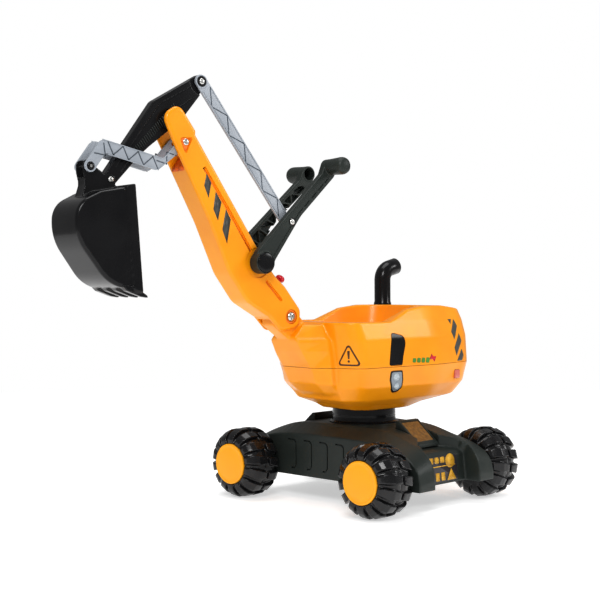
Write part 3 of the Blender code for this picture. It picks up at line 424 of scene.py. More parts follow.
# ---- turret ------------------------------------------------------------------------------------
def plan(z, nose_x, nose_y, front_x, half, tail_x, tail_half, steps=10):
    """One level of the turret in plan: nose corner, broad front corner and tail corner, mirrored."""
    corners = [
        (nose_x, nose_y, 0.3 * nose_y), (front_x, half, 0.3 * half),
        (0.5 * (front_x + tail_x) - 0.03, half, 0.2), (tail_x, tail_half, 0.75 * tail_half),
    ]
    full = corners + [(x, -y, r) for x, y, r in reversed(corners)]
    return [(x, y, z) for x, y in rounded(full, steps, shortest=0.0)]


LEVELS = [                      # z, nose x, nose half width, front x, half width, tail x, tail half
    (0.1850, 0.070, 0.050, 0.045, 0.070, -0.085, 0.050),
    (0.1950, 0.085, 0.060, 0.055, 0.080, -0.120, 0.060),
    (0.2080, 0.120, 0.070, 0.095, 0.100, -0.205, 0.080),
    (0.2350, 0.135, 0.080, 0.115, 0.122, -0.225, 0.093),
    (0.2750, 0.142, 0.085, 0.125, 0.131, -0.236, 0.094),
    (0.3300, 0.146, 0.084, 0.130, 0.129, -0.233, 0.093),
    (0.3640, 0.150, 0.080, 0.135, 0.120, -0.226, 0.088),
    (0.3960, 0.142, 0.070, 0.125, 0.106, -0.214, 0.078),
]
NOSE_LEVELS = [                 # z, front x, front half width, rear half width
    (0.2060, 0.1050, 0.038, 0.056),
    (0.2240, 0.1420, 0.041, 0.068),
    (0.2420, 0.1630, 0.043, 0.075),
    (0.2750, 0.1780, 0.045, 0.078),
    (0.3080, 0.2000, 0.044, 0.074),
    (0.3290, 0.2110, 0.042, 0.070),
    (0.3360, 0.2120, 0.034, 0.062),
    (0.3600, 0.1860, 0.030, 0.048),
]
NOSE_SHOULDER = 0.156
NOSE_ROOT = 0.114
BOSS_PLATE = [(0.17, 0.33), (0.172, 0.364), (0.1905, 0.3815), (0.2135, 0.4), (0.23, 0.395),
              (0.253, 0.38), (0.251, 0.36), (0.21, 0.33)]
BOSS_RADIUS = 0.024
BOSS_HALF_WIDTH = 0.0195
SEAT_FLOOR = 0.331
RIM_Z = 0.364
DECK_Z = 0.394
EXHAUST_XY = (-0.128, -0.08)
WINDOW = [(0.015, 0.279, 0.003), (0.049, 0.2786, 0.003), (0.0455, 0.3, 0.02), (0.04, 0.3425, 0.005),
          (0.008, 0.335, 0.014), (0.005, 0.32, 0.02), (0.0125, 0.295, 0.01)]
LAMP_PANEL = [(0.013, 0.224, 0.009), (0.025, 0.2225, 0.009), (0.034, 0.23, 0.008),
              (0.043, 0.249, 0.008), (0.044, 0.267, 0.004), (0.013, 0.267, 0.004),
              (0.008, 0.249, 0.008), (0.007, 0.232, 0.01)]
LAMP_MIDDLE = (0.0262, 0.2475)
POCKET_DEPTH = 0.002
REFLECTOR_AT = (-0.163, 0.1085, 0.2505)
REFLECTOR_FACING = math.radians(103)
LENSES = ((0.027, 0.2545, 0.008), (0.0225, 0.2365, 0.0068))      # x, z, radius
OVER_RIM = [(0.158, RIM_Z), (0.036, RIM_Z), (-0.022, 0.388), (-0.07, DECK_Z), (-0.13, DECK_Z),
            (-0.3, 0.374), (-0.3, 0.45), (0.158, 0.45)]
SEAT_LEVELS = [                 # the seat recess, in the columns of LEVELS
    (SEAT_FLOOR, 0.092, 0.05, 0.08, 0.078, -0.075, 0.05),
    (SEAT_FLOOR + 0.012, 0.105, 0.055, 0.092, 0.091, -0.092, 0.058),
    (DECK_Z + 0.02, 0.12, 0.06, 0.105, 0.101, -0.112, 0.07),
]
SEAM_HALF_GAP = 0.0004
SIDE_REACH = 0.3                # rays that look for the turret's side start this far out
PRINT_REACH = 0.08
PRINT_THICKNESS = 0.0003


def nose_mesh():
    """The turret's nose: a narrow front that widens to a shoulder and runs back into the shell."""
    rings = []
    for z, front_x, front_half, rear_half in NOSE_LEVELS:
        back = min(NOSE_ROOT, front_x - 0.03)
        shoulder = min(NOSE_SHOULDER, front_x - 0.012)
        rings.append([(front_x, -front_half, z), (front_x, front_half, z), (shoulder, rear_half, z),
                      (back, rear_half, z), (back, -rear_half, z), (shoulder, -rear_half, z)])
    return loft(rings)


def grown(outline, amount):
    """An outline pushed out by an amount from its centre of corners."""
    middle = Vector((0.0, 0.0))
    for corner in outline:
        middle += Vector(corner[:2]) / len(outline)
    out = []
    for x, z, radius in outline:
        away = Vector((x, z)) - middle
        out.append((*(Vector((x, z)) + away.normalized() * amount * 1.3), radius + amount))
    return out


def reflector_block(sy, low, high, half):
    outline = rounded([(low, -half, 0.0), (high, -half, 0.003), (high, half, 0.003), (low, half, 0.0)], 4)
    mesh = prism(outline, -half, half)
    bmesh.ops.transform(mesh, matrix=Matrix.Rotation(sy * REFLECTOR_FACING, 4, "Z"), verts=mesh.verts)
    x, y, z = REFLECTOR_AT
    bmesh.ops.translate(mesh, vec=(x, sy * y, z), verts=mesh.verts)
    return mesh


def half_of(obj, name, z, keep_above):
    """A copy of a mesh cut at a level and closed there."""
    mesh = bmesh.new()
    mesh.from_mesh(obj.data)
    geometry = mesh.verts[:] + mesh.edges[:] + mesh.faces[:]
    cut = bmesh.ops.bisect_plane(mesh, geom=geometry, plane_co=(0, 0, z), plane_no=(0, 0, 1),
                                 clear_inner=keep_above, clear_outer=not keep_above)
    rim = [e for e in cut["geom_cut"] if isinstance(e, bmesh.types.BMEdge)]
    bmesh.ops.holes_fill(mesh, edges=rim)
    return to_object(name, mesh)


def build_turret():
    body = to_object("turret", joined([
        loft([plan(*level) for level in LEVELS]),
        nose_mesh(),
        prism(BOSS_PLATE, -BOSS_HALF_WIDTH, BOSS_HALF_WIDTH),
        cross_rod(BOOM_PIVOT, BOSS_RADIUS, -BOSS_HALF_WIDTH, BOSS_HALF_WIDTH),
    ]))
    moulded(body, 0.002, 1)
    carve(body, [prism(OVER_RIM, -0.2, 0.2), loft([plan(*level) for level in SEAT_LEVELS])])
    moulded(body, 0.0018, 7)
    surface = BVHTree.FromObject(body, bpy.context.evaluated_depsgraph_get())
    for _, sy in SIDES:
        carve(body, [surface_block(surface, rounded(grown(WINDOW, 0.0012)), sy, -POCKET_DEPTH),
                     surface_block(surface, rounded(grown(LAMP_PANEL, 0.001)), sy, -POCKET_DEPTH),
                     reflector_block(sy, -0.002, 0.02, 0.0095)])
    x, y = EXHAUST_XY
    carve(body, [rod(0.0195, 0.38, 0.45, (0, 0, 1), (x, y, 0)),
                 cross_rod(BOOM_PIVOT, 0.0044, -0.05, 0.05),
                 rod(0.0125, 0.17, 0.24, (0, 0, 1), (0, 0, 0))])
    lower = half_of(body, "turret_lower_look", SEAM_Z - SEAM_HALF_GAP, False)
    upper = half_of(body, "turret_upper_look", SEAM_Z + SEAM_HALF_GAP, True)
    bpy.data.objects.remove(body)
    show(lower, YELLOW, "yellow_plastic", "turret", ["turret_lower_shell"], sharp=40)
    show(upper, YELLOW, "yellow_plastic", "turret", ["turret_upper_shell"], sharp=40)
    for side, sy in SIDES:
        build_side_panels(side, sy, surface)
        build_side_prints(side, sy, surface)
    build_exhaust()


def drop(surface, point, direction):
    """Where a ray from a point meets a surface, and the surface's normal there."""
    hit, normal, _, _ = surface.ray_cast(Vector(point), Vector(direction))
    return (hit, normal) if hit else (Vector(point), -Vector(direction))


def surface_block(surface, outline, sy, offset):
    """A solid over a patch of the turret's side, or a cutter that sinks into it at a negative offset."""
    mesh = filled(outline, 0.006)
    skin = []
    for vert in mesh.verts:
        hit, _ = drop(surface, (vert.co.x, sy * SIDE_REACH, vert.co.z), (0, -sy, 0))
        skin.append(hit + Vector((0, sy, 0)) * offset)
    for vert, place in zip(mesh.verts, skin):
        vert.co = place
    out = 0.02 if offset < 0 else -0.003
    return thickened(mesh, (0, sy * out, 0))


def filled(outline, pitch):
    """A flat patch inside an outline of the side plane, split finely enough to bend."""
    mesh = bmesh.new()
    ring = [mesh.verts.new((x, 0, z)) for x, z in outline]
    mesh.faces.new(ring)
    bmesh.ops.triangulate(mesh, faces=mesh.faces[:])
    for _ in range(4):
        long_edges = [e for e in mesh.edges if e.calc_length() > pitch]
        if not long_edges:
            break
        bmesh.ops.subdivide_edges(mesh, edges=long_edges, cuts=1)
        bmesh.ops.triangulate(mesh, faces=mesh.faces[:])
    return mesh


def sticker(name, outline, centre, facing, surface, look, slot, lift):
    """A thin print on the turret. The outline is drawn as seen from outside, about a centre; the print
    faces along a compass angle in degrees and follows the surface as a closed sheet."""
    mesh = filled(outline, 0.004)
    angle = math.radians(facing)
    away = Vector((math.cos(angle), math.sin(angle), 0))
    right = Vector((-math.sin(angle), math.cos(angle), 0))
    for vert in mesh.verts:
        start = Vector(centre) + right * vert.co.x + Vector((0, 0, vert.co.z))
        hit, normal = drop(surface, start + away * PRINT_REACH, -away)
        vert.co = hit + normal * lift
    put(name, thickened(mesh, away * PRINT_THICKNESS), look, slot, "turret")


def build_side_panels(side, sy, surface):
    """Window, lamp panel and tail lamp in their pockets."""
    middle_x, middle_z = LAMP_MIDDLE
    inner = [(x * 0.84 + middle_x * 0.16, z * 0.88 + middle_z * 0.12, r) for x, z, r in LAMP_PANEL]
    panels = (                  # name, outline, height over the shell, look, slot, replaced nodes
        ("window_" + side, WINDOW, 0.0004, BLACK, "black_gloss", ["window_inset_" + side]),
        ("lamp_panel_" + side, LAMP_PANEL, 0.0002, BLACK, "black_gloss", []),
        ("lamp_" + side + "_face", inner, 0.0009, LAMP, "lamp_grey", ["lamp_" + side]),
    )
    for name, outline, proud, look, slot, nodes in panels:
        block = surface_block(surface, rounded(outline), sy, proud)
        put(name, block, look, slot, "turret", nodes, sharp=30)
    for k, (x, z, radius) in enumerate(LENSES):
        hit, normal = drop(surface, (x, sy * SIDE_REACH, z), (0, -sy, 0))
        lens = turned([(0, -0.001), (radius, -0.001), (radius, 0.0012), (radius * 0.86, 0.0022),
                       (radius * 0.8, 0.0014), (radius * 0.45, 0.0026), (0, 0.003)], 40, normal, hit)
        put(f"lamp_lens_{k}_{side}", lens, LENS, "lamp_grey", "turret", sharp=50)
    tail = reflector_block(sy, -0.0015, 0.0024, 0.0088)
    put("tail_lamp_" + side, tail, TAIL_RED, "red_plastic", "turret", ["tail_reflector_" + side], sharp=40)


HAZARD_BARS = [                 # on the tail corner: distance along it and height, seen from outside
    [(-0.013, 0.09), (-0.001, 0.09), (-0.007, 0.08)],
    [(-0.01, 0.064), (0.008, 0.09), (0.017, 0.076), (-0.002, 0.048)],
    [(-0.002, 0.031), (0.018, 0.06), (0.027, 0.044), (0.005, 0.014)],
    [(0.007, 0.003), (0.027, 0.027), (0.034, 0.014), (0.027, 0.003)],
]
TAIL_CORNER = (-0.155, 0.118, SEAM_Z)
TAIL_FACING = 103
WARNING_AT = (0.132, 0.1055, 0.2965)
WARNING_FACING = 29.5
MARK_AT = (-0.047, 0.13, 0.286)
MARK_FACING = 90
PRINT_LIFT = 0.0002             # one print over the shell; prints over prints rise by as much again


def build_side_prints(side, sy, surface):
    """Slanted hazard bars, a plain warning triangle and a patch of colour, all without lettering."""

    def printed(name, outline, at, facing, look, slot="dark_plastic", lift=PRINT_LIFT):
        x, y, z = at
        sticker(f"{name}_{side}", outline, (x, sy * y, z), sy * facing, surface, look, slot, lift)

    for k, corners in enumerate(HAZARD_BARS):
        printed(f"hazard_bar_{k}", [(sy * u, v) for u, v in corners], TAIL_CORNER, TAIL_FACING, STRIPE)
    edge = rounded([(-0.0258, -0.016, 0.005), (0.0258, -0.016, 0.005), (0.0, 0.029, 0.005)], 5)
    field = rounded([(-0.0206, -0.013, 0.003), (0.0206, -0.013, 0.003), (0.0, 0.0228, 0.003)], 5)
    stroke = rounded([(-0.0017, -0.0025, 0.001), (0.0017, -0.0025, 0.001), (0.0028, 0.0135, 0.0018),
                      (-0.0028, 0.0135, 0.0018)], 4)
    dot = disc((0.0, -0.0072), 0.0024, 20)
    printed("warning_edge", edge, WARNING_AT, WARNING_FACING, LINE_PRINT)
    printed("warning_field", field, WARNING_AT, WARNING_FACING, YELLOW, "yellow_plastic", 2 * PRINT_LIFT)
    printed("warning_stroke", stroke, WARNING_AT, WARNING_FACING, LINE_PRINT, lift=3 * PRINT_LIFT)
    printed("warning_dot", dot, WARNING_AT, WARNING_FACING, LINE_PRINT, lift=3 * PRINT_LIFT)
    for k in range(4):
        u = -0.034 + 0.0125 * k
        leaf = rounded([(u, -0.004 - 0.0006 * k, 0.002), (u + 0.0095, -0.0046 - 0.0006 * k, 0.002),
                        (u + 0.011, 0.004, 0.002), (u + 0.002, 0.0046, 0.002)], 4)
        printed(f"mark_block_{k}", leaf, MARK_AT, MARK_FACING, GREEN)
    spark = []
    for k in range(8):
        radius = 0.011 if k % 2 == 0 else 0.0034
        a = 2 * math.pi * k / 8 + 0.35
        spark.append((0.0245 + radius * math.cos(a), 0.003 + radius * math.sin(a) * 0.8))
    printed("mark_spark", spark, MARK_AT, MARK_FACING, RED, "red_plastic")


EXHAUST_RADIUS = 0.0175
EXHAUST_BEND = 0.026
STACK_TOP = 0.448
EXHAUST_TILT = math.radians(75)


def build_exhaust():
    """Bent pipe: a straight stack with a collar, an elbow to the rear and an open mouth."""
    x, y = EXHAUST_XY
    stack = ((0.382, 0.019), (0.3965, 0.019), (0.3985, 0.0184), (0.4005, EXHAUST_RADIUS),
             (STACK_TOP, EXHAUST_RADIUS))
    path = [(Vector((x, y, z)), 0.0, r) for z, r in stack]
    for k in range(1, 13):
        a = EXHAUST_TILT * k / 12
        middle = Vector((x - EXHAUST_BEND * (1 - math.cos(a)), y, STACK_TOP + EXHAUST_BEND * math.sin(a)))
        path.append((middle, a, EXHAUST_RADIUS))
    end, tilt, _ = path[-1]
    forward = Vector((-math.sin(tilt), 0, math.cos(tilt)))
    mouth = ((0.0205, 0.0), (0.022, 0.0012), (0.022, 0.0026), (0.0205, 0.0034), (0.008, 0.0038))
    for ahead, wall in mouth:
        path.append((end + forward * ahead, tilt, EXHAUST_RADIUS - wall))
    rings = []
    for centre, tilt, r in path:
        ring = []
        for k in range(48):
            a = 2 * math.pi * k / 48
            flat = Vector((r * math.cos(a), r * math.sin(a), 0))
            ring.append(tuple(centre + Matrix.Rotation(-tilt, 3, "Y") @ flat))
        rings.append(ring)
    put("exhaust_look", loft(rings), BLACK, "black_gloss", "turret", ["exhaust_pipe"], sharp=50)


build_turret()


# ---- wheels ------------------------------------------------------------------------------------
WHEEL_RADIUS = 0.0714
HUB_RADIUS = 0.041
LUGS = 14
TREAD_BACK = 0.0905             # depth of the tyre's inner face


def lug(angle, face, inward, twist):
    """One tread block: a petal on the tyre's face that wraps the shoulder and leans on the tread."""
    pitch = 2 * math.pi / LUGS
    rings = []
    rows = [                    # depth from the face, inner and outer radius, half width in pitches
        (0.0014, 0.0415, 0.052, 0.37), (0.005, 0.042, 0.059, 0.38), (0.012, 0.048, 0.0655, 0.38),
        (0.022, 0.054, WHEEL_RADIUS - 0.0008, 0.36), (0.034, 0.058, WHEEL_RADIUS, 0.32),
        (0.042, 0.058, WHEEL_RADIUS - 0.0002, 0.26),
    ]
    for depth, low, high, width in rows:
        lean = angle + twist * depth / rows[-1][0]
        ring = []
        for side, r in ((-1, low), (1, low), (0.84, high - 0.0004), (-0.84, high - 0.0004)):
            a = lean + side * width * pitch
            ring.append((r * math.cos(a), -(face + inward * depth), r * math.sin(a)))
        rings.append(ring)
    return loft(rings)


def tyre_mesh():
    """Blow-moulded tyre with two staggered rows of tread blocks that wrap its shoulders."""
    carcass = [(0.006, 0.022), (HUB_RADIUS + 0.0005, 0.022), (HUB_RADIUS + 0.0005, 0.003),
               (0.042, 0.0022), (0.0455, 0.0048), (0.05, 0.0085), (0.056, 0.015), (0.061, 0.024),
               (0.0635, 0.034), (0.0635, 0.042), (0.0622, 0.0445), (0.0635, 0.047), (0.0635, 0.058),
               (0.061, 0.068), (0.056, 0.077), (0.05, 0.084), (0.045, 0.0875), (0.04, 0.09),
               (0.006, TREAD_BACK)]
    solids = [turned([(r, -d) for r, d in carcass], 112, (0, 1, 0), (0, 0, 0))]
    pitch = 2 * math.pi / LUGS
    for k in range(LUGS):
        angle = pitch * k - math.pi / 2
        solids.append(lug(angle, 0.0, 1.0, 0.1))
        solids.append(lug(angle + 0.5 * pitch, TREAD_BACK, -1.0, -0.1))
    return joined(solids)


def build_wheels():
    tyre = moulded(to_object("tyre", tyre_mesh()), 0.0013, 4)
    cap_profile = [(0, -0.006), (HUB_RADIUS - 0.001, -0.006), (HUB_RADIUS, -0.005), (HUB_RADIUS, 0.0004),
                   (HUB_RADIUS - 0.0012, 0.0018), (HUB_RADIUS - 0.003, 0.002),
                   (HUB_RADIUS - 0.0042, 0.0014), (HUB_RADIUS - 0.01, 0.0022), (HUB_RADIUS * 0.4, 0.0032),
                   (0, 0.0034)]
    for end, sx in ENDS:
        for side, sy in SIDES:
            name = f"{end}_{side}"
            place = Matrix.Translation((sx * WHEEL_BASE / 2, sy * HUB_SPAN / 2, WHEEL_Z))
            spin = Matrix.Rotation(0.0 if sy > 0 else math.pi, 4, "Z")
            made = bpy.data.objects.new("tyre_look_" + name, tyre.data.copy())
            bpy.context.scene.collection.objects.link(made)
            made.data.transform(place @ spin)
            show(made, TYRE_BLACK, "black_gloss", "wheel_" + name, ["tyre_" + name], turn=CHASSIS_TURN)
            cap = to_object("hub_disc_" + name, turned(cap_profile, 72, (0, 1, 0), (0, 0, 0)))
            cap.data.transform(place @ spin)
            show(cap, CAP_YELLOW, "yellow_plastic", "wheel_" + name, ["hub_cap_" + name], sharp=50,
                 turn=CHASSIS_TURN)
    bpy.data.objects.remove(tyre)


build_wheels()


# ---- small shared pieces -----------------------------------------------------------------------
def bevelled(obj, width, segments=3):
    step = obj.modifiers.new("edge_round", "BEVEL")
    step.width = width
    step.segments = segments
    step.limit_method = "ANGLE"
    step.angle_limit = math.radians(40)
    return settle(obj)


def screw(name, pivot, face, radius, body, node, sy=1, stem=0.003):
    """Pan-head screw with a cross recess, on the outer face at a distance from the middle plane."""
    height = radius * 0.42
    shank = radius * 0.55
    profile = [(0, -stem), (shank, -stem), (shank, 0.0), (radius, 0.0), (radius, height * 0.35),
               (radius * 0.86, height * 0.74), (shank, height * 0.95), (0, height)]
    head = to_object(name, spun(profile, 48, sy, pivot, sy * face))
    arm = radius * 0.62
    slit = radius * 0.13
    for turn in (0.5, 0.5 + math.pi / 2):
        way = Vector((math.cos(turn), math.sin(turn)))
        ends = [Vector(pivot) - way * arm, Vector(pivot) + way * arm]
        carve(head, [sided(bar(ends[0], ends[1], slit), sy, face + height * 0.25, face + radius)])
    return show(head, ZINC, "zinc_steel", body, [node], sharp=35)


def hex_nut(name, pivot, face, radius, body, node, sy=-1):
    """Hexagon nut with a domed cap."""
    hexagon = spun([(0, 0.0002), (radius, 0.0002), (radius, radius * 0.55), (0, radius * 0.55)], 6, sy, pivot,
                   sy * face)
    dome = [(0, 0.0002), (radius * 0.72, 0.0002), (radius * 0.72, radius * 0.6),
            (radius * 0.5, radius * 0.85), (0, radius * 0.95)]
    nut = to_object(name, joined([hexagon, spun(dome, 40, sy, pivot, sy * face)]))
    moulded(nut, 0.0004, 2)
    return show(nut, ZINC, "zinc_steel", body, [node])


def zigzag(start, end, half_width, count):
    """Bars that run back and forth between the two edges of a link."""
    along = Vector(toward(start, end))
    across = Vector((-along.y, along.x)).normalized() * half_width
    points = []
    for k in range(count + 1):
        side = 1 if k % 2 else -1
        points.append(Vector(start) + along * (k / count) + across * side)
    return [bar(a, b, 0.001) for a, b in zip(points, points[1:])]


# ---- boom --------------------------------------------------------------------------------------
BOOM_HALF_WIDTH = 0.028
FORK_HALF_GAP = 0.02
BOOM_OUTLINE = [
    (0.1915, 0.356, 0.0225), (0.238, 0.348, 0.016), (0.2655, 0.376, 0.006), (0.319, 0.406, 0.04),
    (0.36, 0.46, 0.06), (0.4042, 0.5564, 0.3), (0.4846, 0.703, 0.06), (0.504, 0.745, 0.019),
    (0.469, 0.768, 0.017), (0.433, 0.7205, 0.006), (0.4335, 0.713, 0.006), (0.2957, 0.5125, 0.2),
    (0.252, 0.456, 0.1), (0.227, 0.435, 0.04), (0.189, 0.389, 0.018),
]
BOOM_STRIPES = [                # hazard bars on the cheek
    [(0.4112, 0.6436), (0.4012, 0.6265), (0.4072, 0.5992), (0.4169, 0.6212)],
    [(0.3912, 0.6117), (0.3785, 0.5922), (0.3864, 0.5577), (0.3966, 0.5786)],
    [(0.3683, 0.5796), (0.3575, 0.5609), (0.366, 0.5154), (0.3765, 0.5414)],
]

BUTTON_AXIS = Vector((-0.643, 0, 0.766))
BUTTON_FACE = Vector((0.23, 0, 0.4375))
BEYOND = 0.01                   # how far a cutter for a shallow recess stands out of the piece


def build_boom():
    cheek = BOOM_HALF_WIDTH
    boom = to_object("boom_look", prism(rounded(BOOM_OUTLINE, 8), -cheek, cheek))
    bevelled(boom, 0.0055, 4)
    fork = [(0.53, 0.8), (0.4, 0.8), (0.408, 0.69), (0.44, 0.67), (0.456, 0.649),
            (0.53, 0.64)]
    carve(boom, [prism(fork, -FORK_HALF_GAP, FORK_HALF_GAP),
                 cross_rod(BOOM_PIVOT, 0.047, -FORK_HALF_GAP, FORK_HALF_GAP, 64),
                 rod(0.0064, -0.029, 0.02, BUTTON_AXIS, BUTTON_FACE)])
    moulded(boom, 0.0011, 6)
    tip_flank = rounded([(0.433, 0.729, 0.002), (0.462, 0.769, 0.002), (0.452, 0.78, 0.002),
                         (0.41, 0.73, 0.002), (0.415, 0.706, 0.002), (0.436, 0.7085, 0.002)], 3)
    screw_flat = rounded([(0.44, 0.708, 0.003), (0.47, 0.706, 0.004), (0.457, 0.674, 0.003)], 4)
    recesses = (                # outline and depth under the cheek
        (ribbon([(0.417, 0.655, 0), (0.3625, 0.5785, 0.3), (0.3085, 0.5, 0)], 0.0036), 0.004),
        (bar((0.2728, 0.444), (0.239, 0.4095), 0.0034), 0.0036),
        (disc(LEVER_PIVOT, 0.0295), 0.003),
        (disc(BOOM_PIVOT, 0.0142), 0.002),
        (tip_flank, 0.0036),
        (screw_flat, 0.0016),
    )
    for _, sy in SIDES:
        carve(boom, [sided(outline, sy, cheek - depth, cheek + BEYOND) for outline, depth in recesses])
    show(boom, YELLOW, "yellow_plastic", "boom", ["boom"], sharp=55)
    # Painted shade: orange strips on the groove bottoms, a ring in the foot-bolt recess and a patch on the screw
    # flat stand in for the shade in these hollows.
    flat_shade = rounded([(0.442, 0.7068, 0.003), (0.468, 0.705, 0.004), (0.4568, 0.6765, 0.003)], 4)
    shade_floors = (                  # outline, depth under the cheek of the strip's floor and of its top
        (ribbon([(0.4158, 0.6533, 0), (0.3625, 0.5785, 0.3), (0.3097, 0.5017, 0)], 0.0014), 0.0044, 0.0034),
        (bar((0.2722, 0.4434), (0.2396, 0.4101), 0.0013), 0.004, 0.0031),
    )
    ring = [(0.0092, cheek - 0.0024), (0.014, cheek - 0.0024), (0.014, cheek - 0.0016),
            (0.0092, cheek - 0.0016)]
    for side, sy in SIDES:
        tones = [sided(outline, sy, cheek - low, cheek - high) for outline, low, high in shade_floors]
        tones.append(spun(ring, 56, sy, BOOM_PIVOT))
        tones.append(sided(flat_shade, sy, cheek - 0.002, cheek - 0.0013))
        put("boom_groove_tone_" + side, joined(tones), GROOVE_SHADE, "yellow_plastic", "boom")
    for side, sy in SIDES:
        for k, outline in enumerate(BOOM_STRIPES):
            put(f"boom_bar_{k}_{side}", sided(outline, sy, cheek - 0.0006, cheek + 0.0002), STRIPE,
                "dark_plastic", "boom")
        slot = bar((0.4195, 0.65), (0.4165, 0.656), 0.0017)
        put("boom_slot_" + side, sided(slot, sy, cheek - 0.004, cheek - 0.0012), BLACK, "black_gloss", "boom")
    # Painted shade: the web inside the fork is coloured deep orange for the shade between the cheeks.
    web = [(0.423, 0.6815), (0.4395, 0.6706), (0.456, 0.6475), (0.456, 0.654), (0.44, 0.676),
           (0.424, 0.686)]
    for side, sy in SIDES:
        put("fork_web_" + side, sided(web, sy, 0.0, 0.0195), FORK_SHADE_ORANGE, "yellow_plastic", "boom")
    face = cheek - 0.0008
    screw("boom_pivot_screw", BOOM_PIVOT, face, 0.0085, "boom", "boom_pivot_bolt")
    hex_nut("boom_pivot_hex", BOOM_PIVOT, face, 0.0085, "boom", "boom_pivot_nut")
    screw("bucket_link_screw", LINK_PIVOT, face, 0.006, "boom", "bucket_link_pivot_bolt")
    hex_nut("bucket_link_hex", LINK_PIVOT, face, 0.006, "boom", "bucket_link_pivot_nut")
    cap = 0.013
    dome = [(0, -0.012), (0.0055, -0.012), (0.0055, cap), (0.0084, cap + 0.0002), (0.0091, cap + 0.0012),
            (0.0091, cap + 0.004), (0.0085, cap + 0.0062), (0.007, cap + 0.0079), (0.0044, cap + 0.009),
            (0, cap + 0.0094)]
    put("lock_button_look", turned(dome, 48, BUTTON_AXIS, BUTTON_FACE), RED, "red_plastic", "lock_button",
        ["lock_button"], sharp=50)


# ---- levers ------------------------------------------------------------------------------------
LEVER_ARM = [
    (0.307, 0.5025, 0.008), (0.15, 0.6552, 0.012), (0.141, 0.679, 0.012), (0.119, 0.686, 0.012),
    (0.11, 0.666, 0.012), (0.1187, 0.6502, 0.01), (0.2029, 0.5709, 0.08), (0.265, 0.4867, 0.02),
    (0.276, 0.464, 0.012), (0.307, 0.462, 0.016), (0.316, 0.486, 0.016),
]
ARM_INNER = 0.032
ARM_OUTER = 0.047
HUB_INNER = 0.0286
HUB_OUTER = 0.053
RIGHT_LEVER_SAG = math.radians(2.5)


def swung(points, angle):
    """Points of the side plane turned about the lever pivot; fillet radii that follow them stay."""
    out = []
    for point in points:
        moved = Vector(LEVER_PIVOT) + Matrix.Rotation(angle, 2) @ Vector(toward(LEVER_PIVOT, point))
        out.append((moved.x, moved.y, *point[2:]))
    return out


def truss_cells(front, rear, count, rib):
    """Triangular pockets between two edge lines, with ribs left between them."""
    cells = []
    for k in range(count):
        a, b = k / count, (k + 1) / count
        f0, f1 = (Vector(front[0]).lerp(Vector(front[1]), t) for t in (a, b))
        r0, r1 = (Vector(rear[0]).lerp(Vector(rear[1]), t) for t in (a, b))
        triangles = ((f0, r0, f1), (r0, r1, f1)) if k % 2 else ((f0, r0, r1), (f0, r1, f1))
        for triangle in triangles:
            middle = (triangle[0] + triangle[1] + triangle[2]) / 3
            cells.append([tuple(middle + (p - middle) * (1 - rib / (p - middle).length)) for p in triangle])
    return cells


def build_levers():
    for side, sy in SIDES:
        sag = 0.0 if sy > 0 else RIGHT_LEVER_SAG
        lever = to_object("lever_arm", sided(rounded(swung(LEVER_ARM, sag), 6), sy, ARM_INNER, ARM_OUTER))
        bevelled(lever, 0.0026, 3)
        front = swung([(0.289, 0.5135), (0.153, 0.645)], sag)
        rear = swung([(0.264, 0.4975), (0.129, 0.647)], sag)
        cells = truss_cells(front, rear, 7, 0.003)
        carve(lever, [sided(cell, sy, ARM_INNER - 0.005, ARM_INNER + 0.009) for cell in cells])
        low_edge = swung([(0.2712, 0.4925, 0), (0.208, 0.5772, 0.08), (0.133, 0.6478, 0)], sag)
        high_edge = swung([(0.2905, 0.511, 0), (0.156, 0.6415, 0)], sag)
        carve(lever, [sided(ribbon(low_edge, 0.0011), sy, ARM_OUTER - 0.0026, ARM_OUTER + BEYOND),
                      sided(ribbon(high_edge, 0.0009), sy, ARM_OUTER - 0.0012, ARM_OUTER + BEYOND)])
        grip_at = swung([GRIP_AXIS], sag)[0]
        grip = [(0, 0.0315), (0.015, 0.0315), (0.0157, 0.0325), (0.0158, 0.05), (0.0168, 0.07),
                (0.0172, 0.078), (0.0168, 0.083), (0.0152, 0.0872), (0.012, 0.0903), (0.007, 0.092),
                (0, 0.0925)]
        hub = [(0, HUB_INNER), (0.02, HUB_INNER), (0.0213, HUB_INNER + 0.0015),
               (0.0213, HUB_OUTER - 0.001), (0.0205, HUB_OUTER), (0.0194, HUB_OUTER),
               (0.0194, HUB_OUTER - 0.0036), (0, HUB_OUTER - 0.0036)]
        solids = [taken(lever), spun(grip, 64, sy, grip_at), spun(hub, 64, sy, LEVER_PIVOT)]
        lever = moulded(to_object("lever_look_" + side, joined(solids)), 0.001, 2)
        carve(lever, [spun([(0, 0.025), (0.0126, 0.025), (0.0126, 0.072), (0, 0.072)], 48, sy, grip_at)])
        show(lever, CHARCOAL, "dark_plastic", "levers", ["lever_" + side], sharp=50)
        cap = [(0, HUB_OUTER - 0.0034), (0.019, HUB_OUTER - 0.0034), (0.019, HUB_OUTER + 0.0002),
               (0.0184, HUB_OUTER + 0.001), (0.0172, HUB_OUTER + 0.0014), (0.01, HUB_OUTER + 0.0019),
               (0, HUB_OUTER + 0.002)]
        put("lever_cover_" + side, spun(cap, 64, sy, LEVER_PIVOT), BLACK, "black_gloss", "levers",
            ["lever_cap_" + side], sharp=50)
    ring = [(0.0058, 0.0), (0.0082, 0.0), (0.0082, 0.0009), (0.0074, 0.0013), (0.0064, 0.0009)]
    put("link_screw_ring", spun(ring, 48, 1, LOWER_LINK_PIN, ARM_OUTER - 0.0004), BLACK, "black_gloss",
        "levers")
    screw("link_lower_screw", LOWER_LINK_PIN, ARM_OUTER, 0.0056, "levers", "link_lower_bolt")
    hex_nut("link_lower_hex", LOWER_LINK_PIN, ARM_OUTER, 0.0058, "levers", "link_lower_nut")


# ---- control link ------------------------------------------------------------------------------
LINK_SIDES = (0.006, 0.0112)
LINK_LEAN = 0.018
LINK_HALF_WIDTH = 0.012


